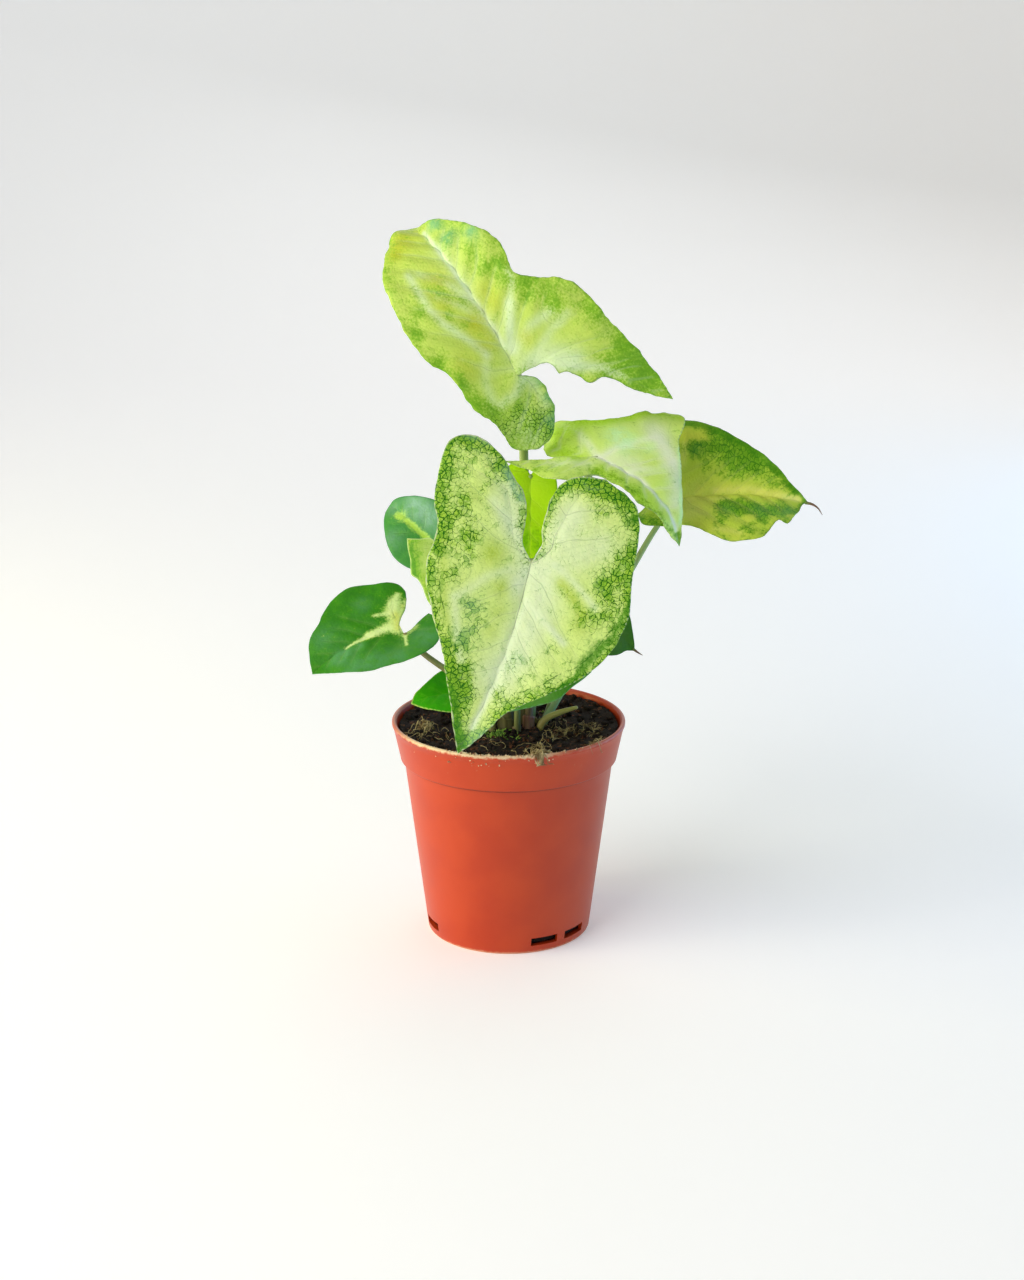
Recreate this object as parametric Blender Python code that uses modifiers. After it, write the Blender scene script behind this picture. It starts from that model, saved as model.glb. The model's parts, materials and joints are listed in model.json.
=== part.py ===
"""An arrowhead plant in a small thin-walled plastic pot, for Blender 4.5.

The object rests on the pot's foot at z = 0 and the pot's axis is the Z axis. Every named piece is its
own closed solid, and pieces that would touch keep a small gap. Sizes are in millimetres up to the
point where a mesh is written.
"""
import math

import bmesh
import bpy
import numpy as np
from mathutils import Euler, Matrix, Vector

MM = 0.001
GAP = 0.3

# Pot, revolved about Z
POT_HEIGHT = 52.0
RIM_RADIUS = 27.5
BAND_FOOT_Z = 42.8
BAND_FOOT_RADIUS = 25.6
BODY_TOP_RADIUS = 24.6
FOOT_RADIUS = 19.4
WALL = 1.0
FLOOR_TOP = 1.6
POT_STEPS = 64

# Drain slots round the foot of the wall, in pairs: degrees to the right of the front
SLOT_ANGLES = (25.5, 52.0, 145.5, 172.0, 265.5, 292.0)
SLOT_WIDTH = 6.8
SLOT_BOTTOM = 1.9
SLOT_HEIGHT = 2.0

# Soil, with one plain hole for each leaf stem
SOIL_TOP = 49.5
SOIL_WAVE = 1.6
SOIL_STEPS = 40
STEM_FOOT = 44.6

# Leaf blades
BLADE = 0.7

# Each leaf: where its stem meets the blade, the way the midrib points (heading from +X, rise above
# level, roll about the midrib), midrib length, bends and folds in degrees for the left and right half,
# and the outline of each half. Outline points are (along the midrib, sideways) from the stem.
# "edge" runs from the tip round to the end of the basal lobe, "sinus" from there back to the stem.
LEAVES = {
    "top": dict(
        at=(2, -3, 134), heading=178, rise=54.5, roll=-82, length=48.5, sway=-1.5,
        tip_bend=85, lobe_bend=(10, 10), fold=(12, 12), lobe_fold=(8, 8),
        left_edge=((48.5, 0), (46, 5), (42.5, 7.5), (35, 12), (27, 14), (16, 15), (8.5, 12.5),
                   (0, 12.5), (-6, 10.5), (-12, 10.5), (-15.5, 7), (-16, 3)),
        left_sinus=((-15, 0.5), (-11, -2.5), (-6, -3.5), (-3, -3)),
        right_edge=((48.5, 0), (44, -3), (39.5, -7), (34, -10.5), (27, -14), (19.5, -13), (16, -15),
                    (11.5, -21), (7, -23), (-2, -24), (-13, -25.5), (-25, -25.5)),
        right_sinus=((-18.5, -20), (-14, -17.5), (-11, -12.5), (-6, -11), (-4, -8), (-1, -5.5)),
        size=(22, 6)),
    "front": dict(
        at=(5, -22, 95.5), heading=-147, rise=-65, roll=-57, length=46.0, sway=0,
        tip_bend=15, lobe_bend=(10, 10), fold=(10, 10), lobe_fold=(8, 8),
        left_edge=((46, 0), (40, 3.5), (33.5, 6.5), (27.5, 12), (21, 18.5), (13.5, 23), (4, 24.5),
                   (-5, 22), (-13, 20.5), (-20, 17), (-23, 9)),
        left_sinus=((-21, 3), (-15.5, -0.5), (-9, -1), (-4, 0.3)),
        right_edge=((46, 0), (40, -3), (30, -8.5), (20.5, -15), (15, -18), (7, -21.5), (0, -22.5),
                    (-8.5, -26), (-16, -27), (-21, -22)),
        right_sinus=((-19.5, -15), (-16, -9), (-10.5, -5.5), (-4.5, -3)),
        size=(22, 6)),
    "lime": dict(
        at=(20, -4, 115.5), heading=-30, rise=-16, roll=10, length=30, sway=0,
        tip_bend=85, lobe_bend=(50, -10), fold=(22, 0), lobe_fold=(25, -5),
        left_edge=((30, 0), (26.5, 1.5), (21.5, 4), (16.5, 9), (11.5, 15.5), (9, 22.5), (5, 22.5),
                   (2.5, 19.5), (-1.5, 15.5), (-5.5, 11), (-10, 8.5), (-15, 7.5), (-16.5, 4)),
        left_sinus=((-12, 1.5), (-6, 1)),
        right_edge=((30, 0), (24.5, -3.5), (19.5, -5), (15, -6.5), (9, -6.5), (4, -6), (2, -9),
                    (0, -13), (-4, -14.5), (-10, -14), (-15, -15)),
        right_sinus=((-12.5, -13), (-8.5, -8.5), (-4, -4)),
        size=(20, 6)),
    "right": dict(
        at=(37, 8, 103), heading=-12.5, rise=3.5, roll=37.5, length=32.5, sway=0,
        tip_bend=10, lobe_bend=(10, 10), fold=(15, 15), lobe_fold=(8, 8),
        left_edge=((32.5, 0), (28.5, 4.5), (23, 10.5), (16.5, 15.5), (8, 20.5), (1, 22), (-5, 19),
                   (-9, 14), (-10, 8)),
        left_sinus=((-7, 3.5), (-3, 1.2)),
        right_edge=((32.5, 0), (29.5, -5), (28.3, -8.5), (25, -9.5), (22.5, -13.5), (17.5, -14.5),
                    (12.5, -13.5), (7, -10), (0, -10), (-4.5, -9), (-6.5, -5)),
        right_sinus=((-4.5, -2.2), (-2, -1.2)),
        size=(18, 5)),
    "inner": dict(
        at=(5, -5, 111.5), heading=-92, rise=-75, roll=-2, length=20, sway=0,
        tip_bend=15, lobe_bend=(20, 20), fold=(10, 10), lobe_fold=(8, 8),
        left_edge=((20, 0), (15, 3), (10, 5), (4, 6), (0, 5.5), (-3, 3.5)),
        left_sinus=((-1.5, 1.2),),
        right_edge=((20, 0), (15, -3), (10, -5.5), (4, -6.5), (0, -6.5), (-3, -4)),
        right_sinus=((-1.5, -1.2),),
        size=(12, 4)),
    "back_left": dict(
        at=(-18, 4, 94), heading=150, rise=34, roll=-56, length=15.5, sway=0,
        tip_bend=50, lobe_bend=(10, 10), fold=(10, 10), lobe_fold=(8, 8),
        left_edge=((15.5, 0), (14.3, 1.2), (11.5, 3.2), (7.5, 6.8), (2, 8.5), (-1.5, 8), (-5, 6),
                   (-6, 3.5)),
        left_sinus=((-3, 1.2),),
        right_edge=((15.5, 0), (14.5, -1.8), (10.5, -5), (6, -7.5), (2, -8.5), (-2, -8), (-5, -6),
                    (-6, -3.5)),
        right_sinus=((-3, -1.2),),
        size=(12, 4)),
    "mid_left": dict(
        at=(-15.5, -5, 94.5), heading=-78, rise=-61, roll=29, length=18.5, sway=0,
        tip_bend=20, lobe_bend=(10, 10), fold=(10, 10), lobe_fold=(8, 8),
        left_edge=((18.5, 0), (12.5, 3), (6, 5.5), (0, 5.5), (-3, 4)),
        left_sinus=((-1.5, 1.2),),
        right_edge=((18.5, 0), (12.5, -3.5), (9.5, -5), (5, -7), (0, -7.7), (-2.7, -7.3)),
        right_sinus=((-2.3, -4.5), (-2, -2)),
        size=(12, 4)),
    "left": dict(
        at=(-24, -8, 75), heading=-161, rise=-14.5, roll=-26, length=23, sway=-2.5,
        tip_bend=20, lobe_bend=(10, 10), fold=(10, 20), lobe_fold=(8, 8),
        left_edge=((23, 0), (18.5, 4), (13, 7.3), (7.5, 9), (2, 10), (-1.5, 9.8), (-5, 7.5), (-7, 3),
                   (-7, -1)),
        left_sinus=((-5.5, -2), (-2.5, -1)),
        right_edge=((23, 0), (21.8, -4.5), (19, -9), (15.5, -12), (11, -15.5), (6.5, -17), (2, -15.5),
                    (-1.5, -14), (-4, -11.5)),
        right_sinus=((-4, -8), (-2, -5), (0, -2.5)),
        size=(16, 5)),
    "low_left": dict(
        at=(-9.5, -2, 59), heading=-157, rise=2.5, roll=-33, length=14, sway=0,
        tip_bend=30, lobe_bend=(10, 10), fold=(10, 10), lobe_fold=(8, 8),
        left_edge=((14, 0), (11.5, 3), (7.5, 5.5), (3.5, 6), (0.5, 4.8), (-2, 2.8)),
        left_sinus=((-1, 1),),
        right_edge=((14, 0), (12.5, -2), (10, -3.5), (5, -6.5), (1, -7.2), (-3, -6.5), (-4.5, -4)),
        right_sinus=((-2, -1.5),),
        size=(12, 4)),
    "low_right": dict(
        at=(21, 10.5, 74.5), heading=-21.5, rise=-37.5, roll=42.5, length=12.5, sway=0,
        tip_bend=20, lobe_bend=(10, 10), fold=(10, 10), lobe_fold=(8, 8),
        left_edge=((12.5, 0), (10, 2), (6, 5), (3.5, 7), (0, 7.5), (-3.5, 6), (-4.5, 3.5)),
        left_sinus=((-2, 1.2),),
        right_edge=((12.5, 0), (11, -1.8), (10, -4.5), (8, -6.5), (3, -8), (-1, -7.5), (-4, -4.5)),
        right_sinus=((-2, -1.5),),
        size=(12, 4)),
    "low_middle": dict(
        at=(2.5, -10, 67.5), heading=-19, rise=5, roll=52, length=17.0, sway=0,
        tip_bend=20, lobe_bend=(10, 10), fold=(10, 10), lobe_fold=(8, 8),
        left_edge=((17, 0), (13, 3.5), (7, 7), (1, 8), (-3, 6.5), (-5, 4)),
        left_sinus=((-2.5, 1.2),),
        right_edge=((17, 0), (14, -3.5), (10.5, -7.5), (7, -9), (2, -10.5), (-2, -11), (-5, -8.5),
                    (-5.5, -5)),
        right_sinus=((-2.5, -1.5),),
        size=(12, 4)),
}

# Each leaf stem: its place in the soil, its radius at the foot and under the blade, and points it
# passes on the way up
STEMS = {
    "top": dict(foot=(3.6, -0.8), radius=(1.4, 0.85), way=((3.7, -0.9, 75), (3.5, -1.0, 115))),
    "front": dict(foot=(-0.6, -3.2), radius=(1.6, 0.9),
                  way=((-0.2, -2.6, 70), (1.8, -5.5, 83), (4.2, -13.0, 91.0))),
    "lime": dict(foot=(4.8, 3.2), radius=(1.2, 0.8), way=((8.0, 2.6, 75), (15.5, -0.6, 103))),
    "right": dict(foot=(7.6, -0.8), radius=(1.1, 0.75),
                  way=((10.4, 0.2, 54.5), (30.9, 6.5, 90.4), (35.2, 7.6, 97.5))),
    "inner": dict(foot=(4.6, -4.6), radius=(0.9, 0.5), way=((5.6, -4.0, 75), (5.3, -3.7, 104))),
    "back_left": dict(foot=(-2.6, 2.6), radius=(1.0, 0.6), way=((-6.5, 4.4, 68), (-15.0, 5.4, 88))),
    "mid_left": dict(foot=(-4.6, -0.6), radius=(0.9, 0.55), way=((-8.5, -1.2, 70), (-13.8, -3.0, 89))),
    "left": dict(foot=(-4.0, -4.8), radius=(1.0, 0.6),
                 way=((-4.9, -4.9, 57), (-8.5, -5.5, 61.2), (-19.0, -6.9, 69.4))),
    "low_left": dict(foot=(-7.2, 1.6), radius=(0.8, 0.5), way=((-7.9, 0.6, 54),)),
    "low_right": dict(foot=(8.6, 2.8), radius=(0.8, 0.5), way=((12.6, 6.2, 61), (18.6, 10.2, 71.0))),
    "low_middle": dict(foot=(2.0, -6.2), radius=(0.8, 0.5), way=((2.1, -7.4, 60),)),
}

# A pale young shoot that leaves the soil beside the stems and leans to the right
SHOOT_FOOT = (7.3, -4.2)
SHOOT_WAY = ((7.3, -4.2, 50.6), (9.0, -4.3, 52.6), (12.0, -4.2, 53.9), (16.0, -4.0, 55.0))
SHOOT_RADIUS = (0.8, 0.8, 0.8, 0.75, 0.6, 0.25)

COLOURS = {
    "pot": (0.55, 0.13, 0.05),
    "soil": (0.03, 0.02, 0.015),
    "shoot": (0.45, 0.40, 0.12),
    "stem": (0.25, 0.42, 0.12),
    "top": (0.35, 0.55, 0.06),
    "front": (0.50, 0.65, 0.30),
    "lime": (0.42, 0.62, 0.12),
    "right": (0.22, 0.38, 0.04),
    "inner": (0.25, 0.50, 0.02),
    "back_left": (0.03, 0.16, 0.04),
    "mid_left": (0.28, 0.48, 0.08),
    "left": (0.03, 0.20, 0.04),
    "low_left": (0.05, 0.30, 0.02),
    "low_right": (0.04, 0.17, 0.04),
    "low_middle": (0.04, 0.22, 0.10),
}


def clear_scene():
    for obj in list(bpy.data.objects):
        bpy.data.objects.remove(obj, do_unlink=True)


def material(name, colour, roughness):
    made = bpy.data.materials.new(name)
    made.use_nodes = True
    shader = made.node_tree.nodes["Principled BSDF"]
    shader.inputs["Base Color"].default_value = (*colour, 1.0)
    shader.inputs["Roughness"].default_value = roughness
    return made


def collection(name):
    made = bpy.data.collections.new(name)
    bpy.context.scene.collection.children.link(made)
    return made


def add_mesh(name, bm, home, skin=None):
    mesh = bpy.data.meshes.new(name)
    bmesh.ops.scale(bm, vec=(MM, MM, MM), verts=bm.verts)
    bm.to_mesh(mesh)
    bm.free()
    obj = bpy.data.objects.new(name, mesh)
    home.objects.link(obj)
    if skin:
        mesh.materials.append(skin)
    return obj


def turned(name, profile, steps, home, skin):
    """A profile of (radius, height) points, from the axis over the top and down the outside, revolved."""
    bm = bmesh.new()
    verts = [bm.verts.new((r, 0.0, z)) for r, z in profile]
    for pair in zip(verts, verts[1:]):
        bm.edges.new(pair)
    obj = add_mesh(name, bm, home, skin)
    screw = obj.modifiers.new("revolve", "SCREW")
    screw.axis = "Z"
    screw.steps = steps
    screw.render_steps = steps
    screw.use_merge_vertices = True
    screw.merge_threshold = 1e-6
    screw.use_smooth_shade = True
    return obj


def inner_radius(z):
    """Radius of the pot's inner wall, in the band and in the body."""
    if z > BAND_FOOT_Z + 1.0:
        lean = (RIM_RADIUS - BAND_FOOT_RADIUS) / (POT_HEIGHT - BAND_FOOT_Z)
        return BAND_FOOT_RADIUS - WALL + lean * (z - BAND_FOOT_Z)
    lean = (BODY_TOP_RADIUS - FOOT_RADIUS) / BAND_FOOT_Z
    return FOOT_RADIUS - WALL + lean * z


def pot_profile():
    band_inside = BAND_FOOT_Z + 1.1
    body_inside = BAND_FOOT_Z - 0.2
    inside = [
        (0, FLOOR_TOP), (inner_radius(FLOOR_TOP) - 0.4, FLOOR_TOP),
        (inner_radius(FLOOR_TOP + 0.4), FLOOR_TOP + 0.4), (inner_radius(body_inside), body_inside),
        (inner_radius(band_inside), band_inside), (inner_radius(POT_HEIGHT - 0.4), POT_HEIGHT - 0.4)]
    rim = [
        (RIM_RADIUS - 0.75, POT_HEIGHT), (RIM_RADIUS - 0.25, POT_HEIGHT), (RIM_RADIUS, POT_HEIGHT - 0.25),
        (RIM_RADIUS, POT_HEIGHT - 0.8), (RIM_RADIUS - 0.3, POT_HEIGHT - 1.1)]
    outside = [
        (BAND_FOOT_RADIUS, BAND_FOOT_Z + 0.25), (BAND_FOOT_RADIUS - 0.15, BAND_FOOT_Z),
        (BODY_TOP_RADIUS + 0.15, BAND_FOOT_Z - 0.25), (BODY_TOP_RADIUS, BAND_FOOT_Z - 0.6),
        (FOOT_RADIUS, 0.5), (FOOT_RADIUS - 0.5, 0), (0, 0)]
    return inside + rim + outside


def cut(obj, cutter):
    step = obj.modifiers.new("cut", "BOOLEAN")
    step.operation = "DIFFERENCE"
    step.solver = "EXACT"
    step.object = cutter


def make_pot(home, helpers):
    pot = turned("pot", pot_profile(), POT_STEPS, home, material("pot", COLOURS["pot"], 0.45))
    slots = bmesh.new()
    for angle in SLOT_ANGLES:
        made = bmesh.ops.create_cube(slots, size=1)["verts"]
        bmesh.ops.scale(slots, vec=(SLOT_WIDTH, 4.0, SLOT_HEIGHT), verts=made)
        bmesh.ops.translate(slots, vec=(0, -19.2, SLOT_BOTTOM + SLOT_HEIGHT / 2), verts=made)
        turn = Matrix.Rotation(math.radians(angle), 3, "Z")
        bmesh.ops.rotate(slots, cent=(0, 0, 0), matrix=turn, verts=made)
    cut(pot, add_mesh("slot_cutter", slots, helpers))


def soil_profile():
    foot = FLOOR_TOP + GAP
    shoulder = BAND_FOOT_Z - 0.1
    upper = BAND_FOOT_Z + 1.4
    slack = GAP + 0.1
    top = [(r, SOIL_TOP) for r in (0, 4, 8, 12, 16, 19, 22, 25.2)]
    side = [
        (inner_radius(SOIL_TOP - 0.4) - slack, SOIL_TOP - 0.4), (inner_radius(upper) - slack, upper),
        (inner_radius(shoulder) - slack, shoulder), (inner_radius(foot + 0.5) - slack, foot + 0.5),
        (inner_radius(foot) - slack - 0.5, foot), (0, foot)]
    return top, side


def make_soil(home, helpers):
    """Potting soil with a low uneven top and a plain round hole for each stem."""
    top, side = soil_profile()
    soil = turned("soil", top + side, SOIL_STEPS, home, material("soil", COLOURS["soil"], 0.95))
    group = soil.vertex_groups.new(name="top")
    group.add(list(range(len(top) - 1)), 1.0, "REPLACE")
    clods = bpy.data.textures.new("clods", "CLOUDS")
    clods.noise_scale = 9 * MM
    clods.noise_depth = 1
    uneven = soil.modifiers.new("uneven", "DISPLACE")
    uneven.texture = clods
    uneven.texture_coords = "LOCAL"
    uneven.vertex_group = "top"
    uneven.direction = "Z"
    uneven.mid_level = 0.4
    uneven.strength = SOIL_WAVE * MM
    holes = bmesh.new()
    feet = [(stem["foot"], stem["radius"][0]) for stem in STEMS.values()]
    feet.append((SHOOT_FOOT, SHOOT_RADIUS[0]))
    for (x, y), radius in feet:
        wide = radius + GAP + 0.05
        made = bmesh.ops.create_cone(
            holes, cap_ends=True, segments=14, radius1=wide, radius2=wide, depth=10)["verts"]
        bmesh.ops.translate(holes, vec=(x, y, STEM_FOOT - GAP + 5), verts=made)
    cut(soil, add_mesh("hole_cutter", holes, helpers))


def smoothed(points, per_span=8):
    """A Catmull-Rom curve through the points, as an array."""
    pts = np.array(points, float)
    ends = np.vstack([2 * pts[0] - pts[1], pts, 2 * pts[-1] - pts[-2]])
    out = []
    for p0, p1, p2, p3 in zip(ends, ends[1:], ends[2:], ends[3:]):
        for t in np.arange(per_span) / per_span:
            a = 2 * p1 + (p2 - p0) * t
            b = (2 * p0 - 5 * p1 + 4 * p2 - p3) * t * t
            c = (3 * p1 - p0 - 3 * p2 + p3) * t ** 3
            out.append((a + b + c) / 2)
    out.append(pts[-1])
    return np.array(out)


def spaced(line, count):
    """The line resampled to count steps of equal length."""
    length = np.concatenate([[0], np.cumsum(np.linalg.norm(np.diff(line, axis=0), axis=1))])
    at = np.linspace(0, length[-1], count + 1)
    return np.stack([np.interp(at, length, line[:, k]) for k in range(line.shape[1])], 1)


def arc_of_bend(length, bend):
    """Distance, forward, drop and pitch along a rib that bends more and more towards its end."""
    t = np.linspace(0, 1.3, 61)
    pitch = np.radians(bend) * t * t
    step = length * t[1]
    middle = (pitch[1:] + pitch[:-1]) / 2
    forward = np.concatenate([[0], np.cumsum(np.cos(middle)) * step])
    drop = np.concatenate([[0], np.cumsum(-np.sin(middle)) * step])
    return t * length, forward, drop, pitch


def leaf_euler(leaf):
    return Euler([math.radians(angle) for angle in (leaf["roll"], -leaf["rise"], leaf["heading"])])


def leaf_points(leaf, side, flat):
    """Flat leaf points (along, sideways) carried onto the bent and folded blade, in its own frame."""
    a = flat[:, 0]
    length = leaf["length"]
    half = 0 if side > 0 else 1
    sway = leaf["sway"] * np.sin(np.pi * np.clip(a / length, 0, 1))
    out = side * (flat[:, 1] - sway)
    tip = arc_of_bend(length, leaf["tip_bend"])
    lobe = arc_of_bend(length / 2, leaf["lobe_bend"][half])
    ahead = a >= 0
    x = np.where(ahead, np.interp(a, tip[0], tip[1]), -np.interp(-a, lobe[0], lobe[1]))
    z = np.where(ahead, np.interp(a, tip[0], tip[2]), np.interp(-a, lobe[0], lobe[2]))
    pitch = np.where(ahead, -np.interp(a, tip[0], tip[3]), np.interp(-a, lobe[0], lobe[3]))
    back = np.clip(-a / (length / 2), 0, 1)
    back = back * back * (3 - 2 * back)
    fold = np.radians(leaf["fold"][half] + (leaf["lobe_fold"][half] - leaf["fold"][half]) * back)
    curl = np.radians(-10) / (length / 2)
    across = (np.sin(fold + curl * out) - np.sin(fold)) / curl
    height = (np.cos(fold) - np.cos(fold + curl * out)) / curl
    return np.stack([x - np.sin(pitch) * height, side * across + sway, z + np.cos(pitch) * height], 1)


def half_blade(bm, leaf, name, side, rows, columns, behind):
    """One half of a blade as a grid, from the lobe's end to the tip and from the midrib to the margin."""
    edge = smoothed(leaf[name + "_edge"][::-1])
    sinus = smoothed((leaf[name + "_edge"][-1],) + leaf[name + "_sinus"] + ((0, 0),))
    shoulder = int(np.argmax(edge[:, 0] > 0.02 * leaf["length"]))
    margin = np.vstack([spaced(edge[:shoulder + 1], behind), spaced(edge[shoulder:], rows - behind)[1:]])
    along = np.linspace(0, leaf["length"], rows - behind + 1)
    rib = np.stack([along, leaf["sway"] * np.sin(np.pi * along / leaf["length"])], 1)
    inner = np.vstack([spaced(sinus, behind), rib[1:]])
    made = bmesh.ops.create_grid(bm, x_segments=rows, y_segments=columns, size=0.5)["verts"]
    index = np.array([[round((v.co.x + 0.5) * rows), round((v.co.y + 0.5) * columns)] for v in made])
    share = index[:, 1:] / columns
    flat = inner[index[:, 0]] * (1 - share) + margin[index[:, 0]] * share
    for vert, point in zip(made, leaf_points(leaf, side, flat)):
        vert.co = point
    if side < 0:
        bmesh.ops.reverse_faces(bm, faces=list({face for vert in made for face in vert.link_faces}))


def make_blade(name, leaf, home):
    rows, columns = leaf["size"]
    bm = bmesh.new()
    behind = round(rows * 0.4)
    half_blade(bm, leaf, "left", 1, rows, columns, behind)
    half_blade(bm, leaf, "right", -1, rows, columns, behind)
    bmesh.ops.remove_doubles(bm, verts=bm.verts, dist=1e-3)
    bmesh.ops.triangulate(bm, faces=bm.faces)
    obj = add_mesh("blade_" + name, bm, home, material("blade_" + name, COLOURS[name], 0.4))
    obj.data.shade_smooth()
    obj.location = Vector(leaf["at"]) * MM
    obj.rotation_euler = leaf_euler(leaf)
    thick = obj.modifiers.new("thickness", "SOLIDIFY")
    thick.thickness = BLADE * MM
    thick.offset = 0


def tube(name, points, radii, home, skin):
    """A round stalk along the points, with closed flat ends and its origin at its foot."""
    foot = np.array(points[0], float)
    data = bpy.data.curves.new(name, "CURVE")
    data.dimensions = "3D"
    data.bevel_depth = MM
    data.bevel_resolution = 2
    data.use_fill_caps = True
    data.render_resolution_u = 0
    spline = data.splines.new("POLY")
    spline.points.add(len(points) - 1)
    for point, place, radius in zip(spline.points, points, radii):
        point.co = (*((np.array(place) - foot) * MM), 1)
        point.radius = radius
    data.materials.append(skin)
    obj = bpy.data.objects.new(name, data)
    obj.location = Vector(foot) * MM
    home.objects.link(obj)


def make_stem(name, home):
    stem = STEMS[name]
    leaf = LEAVES[name]
    x, y = stem["foot"]
    low, high = stem["radius"]
    normal = np.array(leaf_euler(leaf).to_matrix())[:, 2]
    at = np.array(leaf["at"], float)
    axis = at - stem["way"][-1]
    tilt = np.linalg.norm(np.cross(axis, normal)) / np.linalg.norm(axis)
    end = at - normal * (BLADE / 2 + GAP + 0.05 + high * tilt)
    upper = smoothed([(x, y, 50.3)] + list(stem["way"]) + [tuple(end)], 4)
    points = np.vstack([[(x, y, STEM_FOOT)], upper])
    radii = np.concatenate([[low], np.linspace(low, high, len(upper))])
    tube("stem_" + name, points, radii, home, material("stem_" + name, COLOURS["stem"], 0.4))


def make_shoot(home):
    points = [(*SHOOT_FOOT, STEM_FOOT), (*SHOOT_FOOT, 48.0)] + list(SHOOT_WAY)
    tube("shoot", points, SHOOT_RADIUS, home, material("shoot", COLOURS["shoot"], 0.5))


def main():
    clear_scene()
    home = collection("arrowhead_plant")
    helpers = collection("cutters")
    helpers.hide_render = True
    make_pot(home, helpers)
    make_soil(home, helpers)
    for name, leaf in LEAVES.items():
        make_blade(name, leaf, home)
        make_stem(name, home)
    make_shoot(home)
    for obj in helpers.objects:
        obj.hide_render = True
        obj.display_type = "WIRE"


main()
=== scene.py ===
"""An arrowhead plant in its small plastic pot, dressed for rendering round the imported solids.

Sizes are in millimetres up to the point where a mesh is written. The blade shapes repeat the tables
and the bending rules of the solids, on a finer grid and with veins, waves and thin margins.
"""

import json
import math

import bmesh
import bpy
import numpy as np
from mathutils import Euler, Matrix, Vector, noise

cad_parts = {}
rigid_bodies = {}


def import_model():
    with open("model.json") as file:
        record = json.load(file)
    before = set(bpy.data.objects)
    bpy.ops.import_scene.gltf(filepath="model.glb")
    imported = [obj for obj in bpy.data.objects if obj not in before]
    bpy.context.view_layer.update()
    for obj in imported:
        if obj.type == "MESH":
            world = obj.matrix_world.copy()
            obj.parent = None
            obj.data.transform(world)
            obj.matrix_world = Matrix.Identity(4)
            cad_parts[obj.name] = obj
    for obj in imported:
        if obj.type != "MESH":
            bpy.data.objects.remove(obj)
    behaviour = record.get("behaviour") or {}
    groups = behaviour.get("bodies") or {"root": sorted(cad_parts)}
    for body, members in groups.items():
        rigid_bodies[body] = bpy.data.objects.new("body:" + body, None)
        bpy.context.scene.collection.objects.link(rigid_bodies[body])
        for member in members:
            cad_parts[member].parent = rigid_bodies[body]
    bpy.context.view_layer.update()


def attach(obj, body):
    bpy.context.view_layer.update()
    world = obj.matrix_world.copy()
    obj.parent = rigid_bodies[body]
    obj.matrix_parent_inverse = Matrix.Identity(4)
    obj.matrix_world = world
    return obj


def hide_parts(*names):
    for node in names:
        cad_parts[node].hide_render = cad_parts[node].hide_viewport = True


MM = 0.001

for obj in list(bpy.data.objects):
    bpy.data.objects.remove(obj, do_unlink=True)

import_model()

# Pot, repeated from the solids
POT_HEIGHT = 52.0
RIM_RADIUS = 27.5
BAND_FOOT_Z = 42.8
BAND_FOOT_RADIUS = 25.6
BODY_TOP_RADIUS = 24.6
FOOT_RADIUS = 19.4
WALL = 1.0
FLOOR_TOP = 1.6
SLOT_ANGLES = (25.5, 52.0, 145.5, 172.0, 265.5, 292.0)
SLOT_WIDTH = 6.8
SLOT_BOTTOM = 1.9
SLOT_HEIGHT = 2.0
SLOT_DEPTH = 4.0
SLOT_RADIUS = 19.2
SOIL_TOP = 49.5
STEM_FOOT = 44.6

# Steps round the pot and round the soil, the height from which the soil's surface rises and dips, and how
# far out its crumbs lie
POT_STEPS = 224
SOIL_STEPS = 168
GROUND = SOIL_TOP + 0.8
CRUMB_REACH = 25.0

# Blade thickness at the margin, what is added inside it, how far the rounded margin stands out, the
# share of a grid's rows that lies behind the stem, and degrees of curl across half a blade's length
MARGIN_THICK = 0.22
INNER_THICK = 0.2
MARGIN_ROUND = 0.09
BEHIND_SHARE = 0.4
CROSS_CURL = -10

# Leaves: the solids' own numbers, with more outline points where the photograph shows more. "at" is where
# the stem meets the blade; heading, rise and roll turn it; "tip_bend" and "lobe_bend" curl it along,
# "fold" and "lobe_fold" across (left half, right half). "sway" is how far the midrib bows sideways,
# "size" the grid of each half along and across, "ragged" the depth of the margin's scallops. Outline
# points are (along the midrib, sideways) from the stem.
USUAL_LEAF = dict(sway=0, tip_bend=20, lobe_bend=(10, 10), fold=(10, 10), lobe_fold=(8, 8))

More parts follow.
